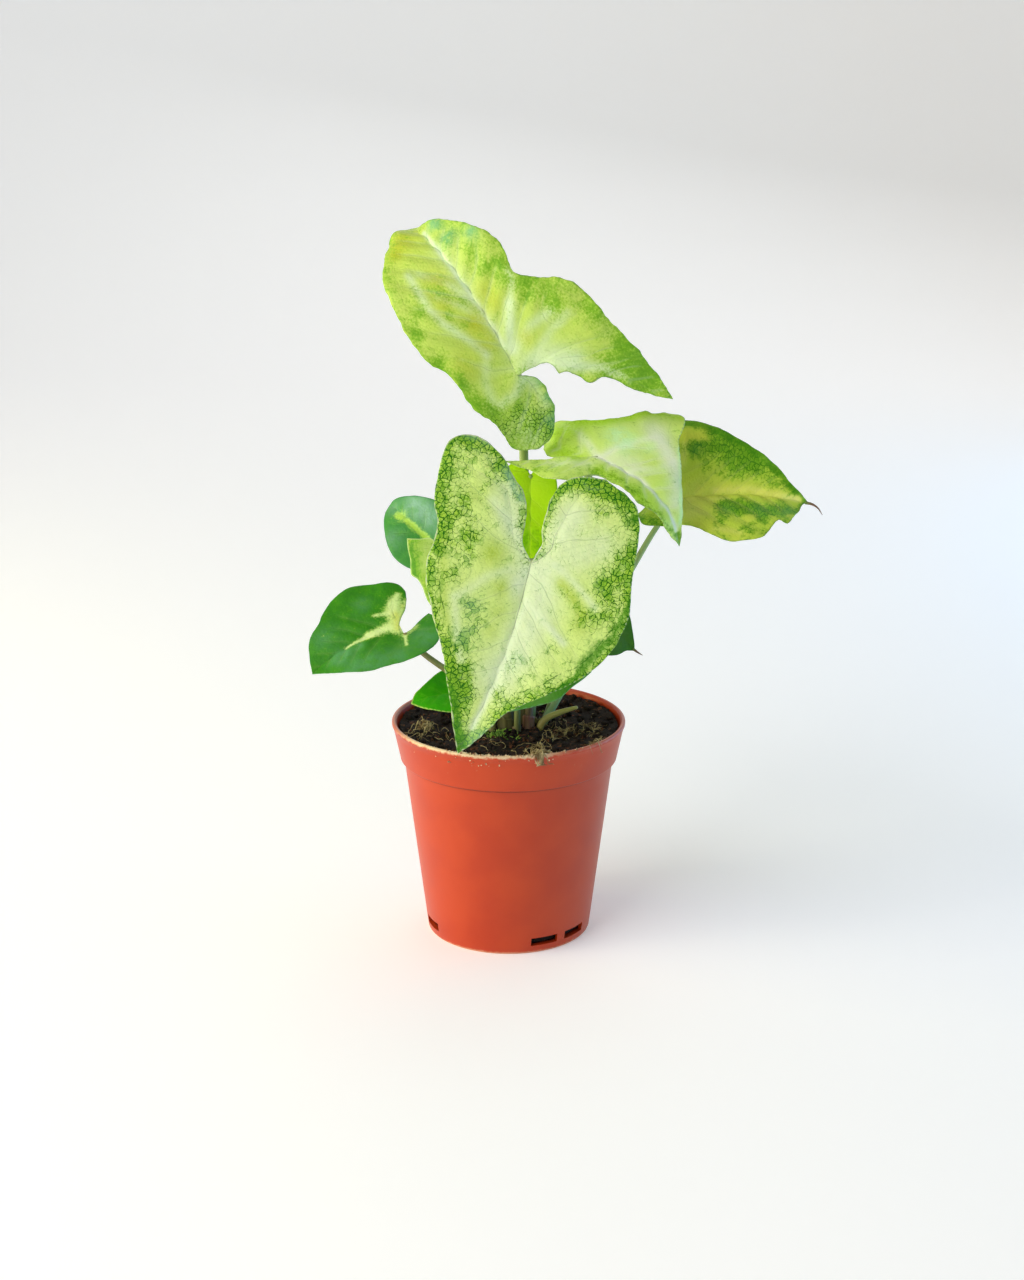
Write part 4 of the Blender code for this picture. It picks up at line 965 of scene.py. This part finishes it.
def half_grid(leaf, name, side, seed):
    """One half of a blade as a grid. For each point: its flat place, how far along the midrib it starts,
    how far it lies from its rib and from the margin, and where its side vein starts."""
    rows, columns = leaf["size"]
    behind = round(rows * BEHIND_SHARE)
    length = leaf["length"]
    edge = smoothed(leaf[name + "_edge"][::-1])
    sinus = smoothed((leaf[name + "_edge"][-1],) + leaf[name + "_sinus"] + ((0, 0),))
    shoulder = int(np.argmax(edge[:, 0] > 0.02 * length))
    margin = np.vstack([spaced(edge[:shoulder + 1], behind), spaced(edge[shoulder:], rows - behind)[1:]])
    margin = ragged(margin, leaf["ragged"], seed)
    along = np.linspace(0, length, rows - behind + 1)
    midrib = np.stack([along, leaf["sway"] * np.sin(np.pi * along / length)], 1)
    inner = np.vstack([ragged(spaced(sinus, behind), leaf["ragged"], seed + 9), midrib[1:]])
    share = np.linspace(0, 1, columns + 1)[None, :, None] ** 1.15
    flat = (inner[:, None] * (1 - share) + margin[:, None] * share).reshape(-1, 2)
    outline = np.vstack([edge, sinus])
    near = np.min(np.linalg.norm(flat[:, None] - outline[None], axis=2), axis=1)

    # Ahead of the stem the rib is the midrib. Behind it a rib runs down inside each lobe.
    row = np.arange(rows + 1)[:, None]
    width = np.linalg.norm(margin - inner, axis=1)[:, None]
    lobe = np.linalg.norm(edge[0])
    back = np.clip(1 - row / behind, 0, 1)
    start = np.where(row >= behind, (row - behind) / (rows - behind) * length, -back * lobe)
    rib = (share[..., 0] - 0.36 * back ** 0.7) * width

    # Side veins lean to the tip ahead of the stem and to the lobe's end behind it. The halves' veins
    # start at different places.
    lean = eased((start + 7) / 16) * 1.35 - 0.6
    origin = start - np.abs(rib) * lean + side * 1.3
    return dict(flat=flat, start=(start + 0 * rib).ravel(), rib=rib.ravel(), edge=near,
                origin=origin.ravel(), lobe=np.full(len(flat), lobe))


def welded_faces(points, faces):
    """One index for points in the same place, and the faces that are left, with a triangle's last corner
    given twice."""
    _, first, index = np.unique(np.round(points, 4), axis=0, return_index=True, return_inverse=True)
    faces = index.reshape(-1)[faces]
    for k in range(4):
        same = faces[:, k] == faces[:, (k + 1) % 4]
        faces[same] = np.roll(faces[same], 2 - k, axis=1)
    corners = faces.T
    flat = (corners[0] == corners[1]) | (corners[1] == corners[2])
    flat |= (corners[0] == corners[2]) | (corners[0] == corners[3])
    return first, faces[~flat]


def mark_shares(points, marks):
    """For each mark its amount and how fully each point lies in it."""
    for width, amount, *path in marks:
        path = np.array(path, float)
        away = np.linalg.norm(points - path[0], axis=1)
        for start, end in zip(path, path[1:]):
            way = end - start
            share = np.clip((points - start) @ way / (way @ way), 0, 1)
            away = np.minimum(away, np.linalg.norm(points - start - share[:, None] * way, axis=1))
        yield amount, np.exp(-(away / width) ** 2)


def added(points, marks):
    """The sum of the marks at each point."""
    total = np.zeros(len(points))
    for amount, share in mark_shares(points, marks):
        total += amount * share
    return total


def laid(points, marks):
    """The marks laid over each other, from 0 to 1."""
    left = np.ones(len(points))
    for amount, share in mark_shares(points, marks):
        left *= 1 - min(amount, 1) * share
    return 1 - left


def leaf_paint(look, data):
    """The painted densities at each point: two vectors, as leaf_skin reads them."""
    flat = data["flat"]
    base, extra, band = look["base"]
    cover = base + extra * np.exp(-(data["edge"] / band) ** 1.3) + added(flat, look["cover"])
    solid = np.maximum(look["solid"], laid(flat, look["solid_marks"]))
    pale = laid(flat, look["pale"])
    everywhere, *sharp = look["crisp"]
    crisp = np.maximum(everywhere, added(flat, sharp))
    paint = np.stack([cover * (1 - 0.6 * pale), solid, laid(flat, look["lemon"])], 1)
    # The second tint is the painted bluish sheen, a painted reflection.
    return paint, np.stack([pale, laid(flat, look["painted_sheen"]), crisp], 1)


def blade_relief(leaf, look, data, seed):
    """Height of the blade's surface over its plain form, in mm."""
    flat = np.column_stack([data["flat"], np.zeros(len(data["flat"]))])
    near = np.exp(-data["edge"] / 3.0)
    waves = look["wave"] * near * swell(flat, 0.17, seed) * 1.7
    waves += 0.35 * swell(flat, 0.09, seed + 5)
    small = min(1.0, leaf["length"] / 40)
    inner = np.clip(data["edge"] / 5, 0, 1)
    between = (1 - np.cos(2 * np.pi * (data["origin"] / look["veins"][0] + 0.5))) / 2
    quilt = look["quilt"] * small * inner * between
    puff = 0.1 * small * inner * swell(flat, 0.6, seed + 2)
    groove = -look["groove"] * small * np.exp(-(data["rib"] / 0.9) ** 2) * inner ** 0.5
    return waves + quilt + puff + groove + added(data["flat"], look["lift"])


def midrib_ridge(leaf, data):
    """How far the midrib stands out of the blade's back, in mm."""
    behind = np.clip(1 + data["start"] / data["lobe"], 0, 1)
    ahead = np.clip(1 - data["start"] / leaf["length"], 0, 1) ** 0.6
    ridge = np.where(data["start"] < 0, 0.3 * behind, 0.6 * ahead)
    ridge = ridge * min(1.0, 0.4 + leaf["length"] / 70) * np.exp(-(data["rib"] / 0.55) ** 2)
    return ridge * np.clip(data["edge"] / 1.5, 0, 1)


def make_blade(name, seed):
    leaf = {**USUAL_LEAF, **LEAVES[name]}
    look = {**USUAL_LOOK, **LOOKS[name]}
    halves = [half_grid(leaf, "left", 1, seed), half_grid(leaf, "right", -1, seed + 20)]
    size = (leaf["size"][0] + 1, leaf["size"][1] + 1)
    faces = np.vstack([grid_faces(size, 0, False), grid_faces(size, size[0] * size[1], True)])
    points = np.vstack([leaf_points(leaf, side, half["flat"]) for side, half in zip((1, -1), halves)])
    first, faces = welded_faces(points, faces)
    data = {key: np.concatenate([half[key] for half in halves])[first] for key in halves[0]}
    points = points[first]
    points = points + point_normals(points, faces) * blade_relief(leaf, look, data, seed)[:, None]
    normals = point_normals(points, faces)
    thick = MARGIN_THICK + INNER_THICK * (1 - np.exp(-data["edge"] / 3))
    top = points + normals * thick[:, None] / 2
    bottom = points - normals * (thick / 2 + midrib_ridge(leaf, data))[:, None]

    # A rounded margin: one row of points pushed outward between the top and the bottom
    n = len(points)
    rim = open_edges(faces, n)
    push = np.cross(points[rim[:, 1]] - points[rim[:, 0]], normals[rim[:, 0]])
    outward = np.zeros_like(points)
    np.add.at(outward, rim[:, 0], push)
    np.add.at(outward, rim[:, 1], push)
    around = np.unique(rim)
    place = np.zeros(n, int)
    place[around] = 2 * n + np.arange(len(around))
    middle = points[around] + unit(outward[around]) * MARGIN_ROUND
    i, j = rim.T
    upper = [face[:3] if face[2] == face[3] else face for face in faces.tolist()]
    under = [[corner + n for corner in face[::-1]] for face in upper]
    walls = np.stack([j, i, place[i], place[j]], 1).tolist()
    walls += np.stack([place[j], place[i], i + n, j + n], 1).tolist()
    every = np.vstack([top, bottom, middle]) @ leaf_turn(leaf).T + np.array(leaf["at"], float)

    index = np.concatenate([np.arange(n), np.arange(n), around])
    back = np.concatenate([np.zeros(n), np.ones(n), np.full(len(around), 0.3)])
    paint, tint = leaf_paint(look, data)
    attributes = {
        "flat": np.column_stack([data["flat"][index], back]),
        "vein": np.stack([data["origin"], data["rib"], data["edge"]], 1)[index],
        "paint": paint[index],
        "tint": tint[index],
    }
    piece("leaf_" + name, every, upper + under + walls, leaf_skin(name, look), SLOT_OF[name],
          ["blade_" + name], attributes, sharp=75)


# Stems, shoot, dry tips and dry sheaths

def make_stem(name):
    stem = STEMS[name]
    leaf = LEAVES[name]
    x, y = stem["foot"]
    low, high = stem["radius"]
    end = np.array(leaf["at"], float) - leaf_turn(leaf)[:, 2] * 0.25
    upper = smoothed([(x, y, GROUND)] + list(stem["way"]) + [tuple(end)], 10)
    points = np.vstack([[(x, y, STEM_FOOT)], [(x, y, SOIL_TOP - 1)], upper])
    t = np.linspace(0, 1, len(upper))
    radii = low + (high - low) * t
    radii = radii * (1 + 0.22 * np.exp(-(t / 0.05) ** 2) + 0.2 * np.exp(-((1 - t) / 0.03) ** 2))
    verts, faces, around = tube(points, [low, low * 1.15, *radii], 20)
    piece("petiole_" + name, verts, faces, stem_skin(name, *stem["hues"]), "stem", ["stem_" + name],
          {"flat": around})


def make_shoot():
    points = smoothed([(*SHOOT_FOOT, STEM_FOOT), (*SHOOT_FOOT, 48.0)] + list(SHOOT_WAY), 6)
    t = np.linspace(0, len(SHOOT_RADII) - 1, len(points))
    radii = np.interp(t, np.arange(len(SHOOT_RADII)), SHOOT_RADII)
    verts, faces, around = tube(points, radii, 18)
    skin = stem_skin("shoot", "b9a25c", "b3ae58")
    piece("young_shoot", verts, faces, skin, "shoot", ["shoot"], {"flat": around})


def make_tips():
    for name, line in TIPS.items():
        points = smoothed(line)
        verts, faces, around = tube(points, np.linspace(*TIP_RADII, len(points)), 8)
        piece("tip_" + name, verts, faces, dry_tip_skin(), SLOT_OF[name], attributes={"flat": around})


def make_sheaths():
    """Thin dry sheaths that wrap the feet of the stems, open at the back and ragged at the top."""
    rows, columns = SHEATH_SIZE
    for count, (x, y, radius, height, facing, span, hues) in enumerate(SHEATHS):
        turns = np.radians(facing + np.linspace(-0.5, 0.5, columns + 1) * span)
        edge = np.column_stack([np.cos(turns), np.sin(turns), turns * 0])
        arch = 0.72 + 0.28 * np.cos(np.linspace(-1.3, 1.3, columns + 1))
        top = height * arch + 0.5 * swell(edge, 3.0, count + 60)
        points, around = [], []
        for share in np.arange(rows + 1) / rows:
            spread = radius * (1.25 - 0.4 * share + 0.22 * share ** 4)
            bulge = spread * (1 + 0.06 * np.sin(7 * turns + count))
            up = share * (top + 1.6)
            points.append(np.stack([x + bulge * edge[:, 0], y + bulge * edge[:, 1], SHEATH_FOOT + up], 1))
            around.append(np.stack([up, turns * radius, np.full(len(turns), share)], 1))
        points = np.vstack(points)
        around = np.vstack(around)
        faces = grid_faces((rows + 1, columns + 1), 0, True)
        inner = points - point_normals(points, faces) * SHEATH_THICK
        n = len(points)
        i, j = open_edges(faces, n).T
        walls = np.stack([j, i, i + n, j + n], 1)
        faces = np.vstack([faces, faces[:, ::-1] + n, walls]).tolist()
        name = "sheath_%d" % (count + 1)
        piece(name, np.vstack([points, inner]), faces, stem_skin(name, *hues, contrast=0.1), "stem",
              attributes={"flat": np.vstack([around, around])})


# Pot

def inner_radius(z):
    if z > BAND_FOOT_Z + 1.0:
        lean = (RIM_RADIUS - BAND_FOOT_RADIUS) / (POT_HEIGHT - BAND_FOOT_Z)
        return BAND_FOOT_RADIUS - WALL + lean * (z - BAND_FOOT_Z)
    lean = (BODY_TOP_RADIUS - FOOT_RADIUS) / BAND_FOOT_Z
    return FOOT_RADIUS - WALL + lean * z


def circle(radius, height, steps):
    """Points round the pot's axis; height is a number or a function of x and y."""
    turns = np.arange(steps) * 2 * math.pi / steps
    spots = [(radius * math.cos(t), radius * math.sin(t)) for t in turns]
    return [(x, y, height(x, y) if callable(height) else height) for x, y in spots]


def arc(cx, cz, radius, start, end, count):
    return [(cx + radius * math.cos(math.radians(t)), cz + radius * math.sin(math.radians(t)))
            for t in np.linspace(start, end, count)]


def line_between(start, end, count):
    """Points from start to end, without the first."""
    return np.linspace(start, end, count)[1:].tolist()


def pot_profile():
    """(radius, height) points from the middle of the floor up inside, over the rim and down outside."""
    inside = [(8, FLOOR_TOP), (inner_radius(FLOOR_TOP) - 0.5, FLOOR_TOP)]
    heights = [FLOOR_TOP + 0.5, *np.linspace(6, BAND_FOOT_Z - 0.2, 8)]
    heights += [*np.linspace(BAND_FOOT_Z + 1.1, POT_HEIGHT - 0.5, 5)]
    inside += [(inner_radius(z), z) for z in heights]
    rim = arc(RIM_RADIUS - 0.5, POT_HEIGHT - 0.48, 0.48, 170, 0, 9)
    rim += [(RIM_RADIUS - 0.02, POT_HEIGHT - 0.85), (RIM_RADIUS - 0.12, POT_HEIGHT - 1.05),
            (RIM_RADIUS - 0.27, POT_HEIGHT - 1.2)]
    band = line_between((RIM_RADIUS - 0.3, POT_HEIGHT - 1.25), (BAND_FOOT_RADIUS, BAND_FOOT_Z + 0.35), 7)
    band += [(BAND_FOOT_RADIUS - 0.04, BAND_FOOT_Z + 0.15), (BAND_FOOT_RADIUS - 0.17, BAND_FOOT_Z)]
    step = [(BODY_TOP_RADIUS + 0.35, BAND_FOOT_Z - 0.1), (BODY_TOP_RADIUS + 0.08, BAND_FOOT_Z - 0.3),
            (BODY_TOP_RADIUS - 0.02, BAND_FOOT_Z - 0.7)]
    body = line_between((BODY_TOP_RADIUS, BAND_FOOT_Z - 0.8), (FOOT_RADIUS, 0.6), 16)
    foot = [(FOOT_RADIUS - 0.12, 0.25), (FOOT_RADIUS - 0.32, 0.06), (FOOT_RADIUS - 0.55, 0.0), (12, 0.0)]
    return inside + rim + band + step + body + foot


def slot_cutter():
    """Boxes where the drain slots go, in metres."""
    boxes = bmesh.new()
    size = Matrix.Diagonal((SLOT_WIDTH * MM, SLOT_DEPTH * MM, SLOT_HEIGHT * MM, 1))
    out = Matrix.Translation((0, -SLOT_RADIUS * MM, (SLOT_BOTTOM + SLOT_HEIGHT / 2) * MM))
    for angle in SLOT_ANGLES:
        turn = Matrix.Rotation(math.radians(angle), 4, "Z")
        bmesh.ops.create_cube(boxes, size=1, matrix=turn @ out @ size)
    mesh = bpy.data.meshes.new("slots")
    boxes.to_mesh(mesh)
    boxes.free()
    return linked("slots", mesh)


def make_pot():
    rings = [circle(radius, z, POT_STEPS) for radius, z in pot_profile()]
    points, faces = closed_rings(rings, (0, 0, FLOOR_TOP), (0, 0, 0), flip=True)
    pot = piece("pot_body", points, faces, pot_skin(), "pot", ["pot"])
    cutter = slot_cutter()
    cut = pot.modifiers.new("cut", "BOOLEAN")
    cut.operation = "DIFFERENCE"
    cut.solver = "EXACT"
    cut.object = cutter
    graph = bpy.context.evaluated_depsgraph_get()
    result = bpy.data.meshes.new_from_object(pot.evaluated_get(graph))
    pot.modifiers.clear()
    pot.data = result
    bpy.data.objects.remove(cutter, do_unlink=True)
    pot.data.shade_smooth()
    pot.data.set_sharp_from_angle(angle=math.radians(38))


# Soil and what lies on it

def soil_height(x, y):
    """Height of the soil's uneven surface."""
    p = Vector((x, y, 0))
    lumps = 0.8 * noise.fractal(p * 0.16, 1.0, 2.0, 4)
    grit = noise.noise(p * 0.9 + Vector((9, 2, 1))) * 0.35 + noise.noise(p * 2.1) * 0.16
    edge = 0.5 * max(0.0, (math.hypot(x, y) - 20) / 6) ** 2
    rise = 0.9 * math.exp(-((x - 2) ** 2 + (y + 1) ** 2) / 70)
    return min(GROUND + lumps + grit + edge + rise, POT_HEIGHT - 0.15)


def make_soil():
    """The soil: rings over its uneven top, then down inside the wall with a small gap."""
    radii = [*np.linspace(0, 24.5, 58)[1:], 25.0, 25.4, 25.7]
    rings = [circle(radius, soil_height, SOIL_STEPS) for radius in radii]
    for gap, z in ((0.2, 46.5), (0.3, 42.0), (0.3, 2.5)):
        rings.append(circle(inner_radius(z) - gap, z, SOIL_STEPS))
    rings.append(circle(inner_radius(2.0) - 0.8, 1.9, SOIL_STEPS))
    points, faces = closed_rings(rings, (0, 0, soil_height(0, 0)), (0, 0, 1.9), flip=True)
    piece("soil_mass", points, faces, soil_skin("soil_skin"), "soil", ["soil"])


def make_crumbs():
    """Loose crumbs of peat on the soil, most of them small."""
    rng = np.random.default_rng(11)
    shape, triangles = ball()
    parts = []
    for k in range(CRUMBS):
        radius = CRUMB_REACH * math.sqrt(rng.uniform())
        turn = rng.uniform(0, 2 * math.pi)
        x, y = radius * math.cos(turn), radius * math.sin(turn)
        size = 0.22 + 0.75 * rng.uniform() ** 3
        crumb = lump(shape, 0.35, 1.3, k, size * rng.uniform(0.6, 1.2, 3), rng)
        if radius <= inner_radius(SOIL_TOP) - 0.2 - size:
            parts.append((crumb + (x, y, soil_height(x, y) + size * 0.25), triangles))
    piece("soil_crumbs", *joined(parts), soil_skin("crumb_skin"), "soil")


def make_rim_dust():
    """Dried dust and specks of peat stuck along the front of the rim."""
    rng = np.random.default_rng(47)
    shape, triangles = ball()
    lean = (RIM_RADIUS - BAND_FOOT_RADIUS) / (POT_HEIGHT - BAND_FOOT_Z)
    parts = []
    for k in range(RIM_SPECKS):
        turn = math.radians(rng.normal(-98, 20))
        if rng.uniform() < 0.2:
            z = POT_HEIGHT - rng.uniform(0.5, 3.0)
            reach = RIM_RADIUS - 0.05 - lean * (POT_HEIGHT - z)
        else:
            z = POT_HEIGHT
            reach = RIM_RADIUS - 0.5 + rng.uniform(-0.35, 0.35)
        size = 0.08 + 0.22 * rng.uniform() ** 2
        speck = lump(shape, 0.3, 1.5, k + 300, size * np.array((1.2, 1.2, 0.6)), rng)
        parts.append((speck + (reach * math.cos(turn), reach * math.sin(turn), z), triangles))
    piece("rim_dust", *joined(parts), mottled_skin("rim_dust", 0.9, 1.2, 0.1, "e2cda6", "8a5a3c"), "soil")


def over_ground(x, y):
    """Height of what lies under a fibre: soil, the rim, or a point beside the wall outside it."""
    radius = math.hypot(x, y)
    if radius < RIM_RADIUS - 1.2:
        return soil_height(x, y)
    if radius < RIM_RADIUS + 0.1:
        return POT_HEIGHT
    return POT_HEIGHT - 4.0 * (radius - RIM_RADIUS)


def make_fibres():
    """Dry straw and fine roots. Those at the front of the rim may hang over it."""
    rng = np.random.default_rng(23)
    parts = []
    for cx, cy, across, deep, facing, count, lift, thin, thick, curl in TUFTS:
        for _ in range(count):
            x, y = cx + rng.normal() * across * 0.6, cy + rng.normal() * deep * 0.6
            heading = rng.uniform(0, 2 * math.pi)
            if facing is not None:
                heading = math.radians(facing) + rng.normal() * 0.45
            steps = int(rng.integers(5, 11))
            reach = rng.uniform(0.3, 0.75)
            rise = lift * rng.uniform(0.2, 1.0)
            points = []
            for k in range(steps):
                radius = math.hypot(x, y)
                limit = RIM_RADIUS + 0.6 if y < -16 and cy < -16 else RIM_RADIUS - 1.6
                if radius > limit:
                    x, y = x * limit / radius, y * limit / radius
                arch = math.sin(math.pi * min(1, k / (steps - 1) * 1.15))
                points.append((x, y, over_ground(x, y) + 0.15 + rise * arch * rng.uniform(0.8, 1.1)))
                heading += rng.normal() * curl
                x += reach * math.cos(heading)
                y += reach * math.sin(heading)
            line = smoothed(points, 3)
            radii = rng.uniform(thin, thick) * (1 - 0.6 * np.linspace(0, 1, len(line)) ** 2)
            parts.append(tube(line, radii, 6))
    around = np.vstack([part[2] for part in parts])
    piece("soil_fibres", *joined(parts), straw_skin(), "soil", attributes={"flat": around})


def make_moss():
    """Small tufts of moss round the stems: short pointed leaflets."""
    rng = np.random.default_rng(31)
    parts = []
    for cx, cy, count in MOSS:
        for _ in range(count):
            x, y = cx + rng.normal() * 1.3, cy + rng.normal() * 1.0
            way = unit(np.array([rng.normal() * 0.7, rng.normal() * 0.7, rng.uniform(0.5, 1.3)]))
            size = rng.uniform(0.5, 1.2)
            base = np.array([x, y, soil_height(x, y) - 0.1])
            line = [base, base + way * size * 0.5, base + way * size + (0, 0, -0.12)]
            parts.append(tube(line, [size * 0.13, size * 0.2, size * 0.03], 5, squash=0.45))
    piece("moss", *joined(parts), mottled_skin("moss", 0.7, 0.8, 0.15, "4a7a1e", "8fb042"), "soil")


# Stage, lights and camera, in metres

def make_stage():
    """A pale floor that curves up into a backdrop."""
    curve = 0.45
    start = 0.75
    line = [(-1.2, 0.0), (start, 0.0)] + arc(start, curve, curve, -81, 0, 10) + [(1.2, 2.2)]
    verts = [(x, y, z) for y, z in line for x in (-2.2, 2.2)]
    faces = [(2 * k, 2 * k + 1, 2 * k + 3, 2 * k + 2) for k in range(len(line) - 1)]
    mesh = bpy.data.meshes.new("floor")
    mesh.from_pydata(verts, [], faces)
    mesh.materials.append(stage_skin())
    mesh.shade_smooth()
    linked("floor", mesh)


def area_light(name, at, size, power, target=(0, 0, 0.08), colour=(1, 1, 1)):
    data = bpy.data.lights.new(name, "AREA")
    data.shape = "RECTANGLE"
    data.size, data.size_y = size
    data.energy = power
    data.color = colour
    light = linked(name, data)
    light.location = at
    light.rotation_euler = (Vector(target) - Vector(at)).to_track_quat("-Z", "Y").to_euler()


def make_lights():
    low = (0, 0, 0.03)
    area_light("key", (-0.7, -0.56, 0.62), (1.0, 0.9), 9.3, colour=(1.0, 0.985, 0.96))
    area_light("front", (0.05, -0.95, 0.7), (0.9, 0.5), 0.35)
    area_light("side", (-0.55, -0.02, 0.12), (0.4, 0.2), 1.7, low, (1.0, 0.88, 0.36))
    area_light("panel", (0.5, 0.13, 0.065), (0.7, 0.12), 1.7, low, (0.08, 0.5, 1.0))
    area_light("back", (0.2, 0.8, 0.5), (0.8, 0.6), 1.2)
    world = bpy.data.worlds.new("studio")
    world.use_nodes = True
    back = world.node_tree.nodes["Background"]
    back.inputs["Color"].default_value = (1.0, 1.0, 1.0, 1)
    back.inputs["Strength"].default_value = 0.25
    bpy.context.scene.world = world


def make_camera():
    data = bpy.data.cameras.new("camera")
    data.sensor_fit = "VERTICAL"
    data.sensor_height = SENSOR
    data.lens = FOCAL_PIXELS / PHOTO_HEIGHT * SENSOR
    data.clip_start = 0.01
    camera = linked("camera", data)
    camera.location = CAMERA_AT
    camera.rotation_euler = (math.radians(90 - CAMERA_DOWN), 0, 0)
    bpy.context.scene.camera = camera


for seed, leaf_name in enumerate(LEAVES, 1):
    make_blade(leaf_name, seed)
    make_stem(leaf_name)
make_pot()
make_soil()
make_crumbs()
make_rim_dust()
make_fibres()
make_moss()
make_sheaths()
make_tips()
make_shoot()
make_stage()
make_lights()
make_camera()
bpy.context.scene.view_settings.view_transform = "Standard"
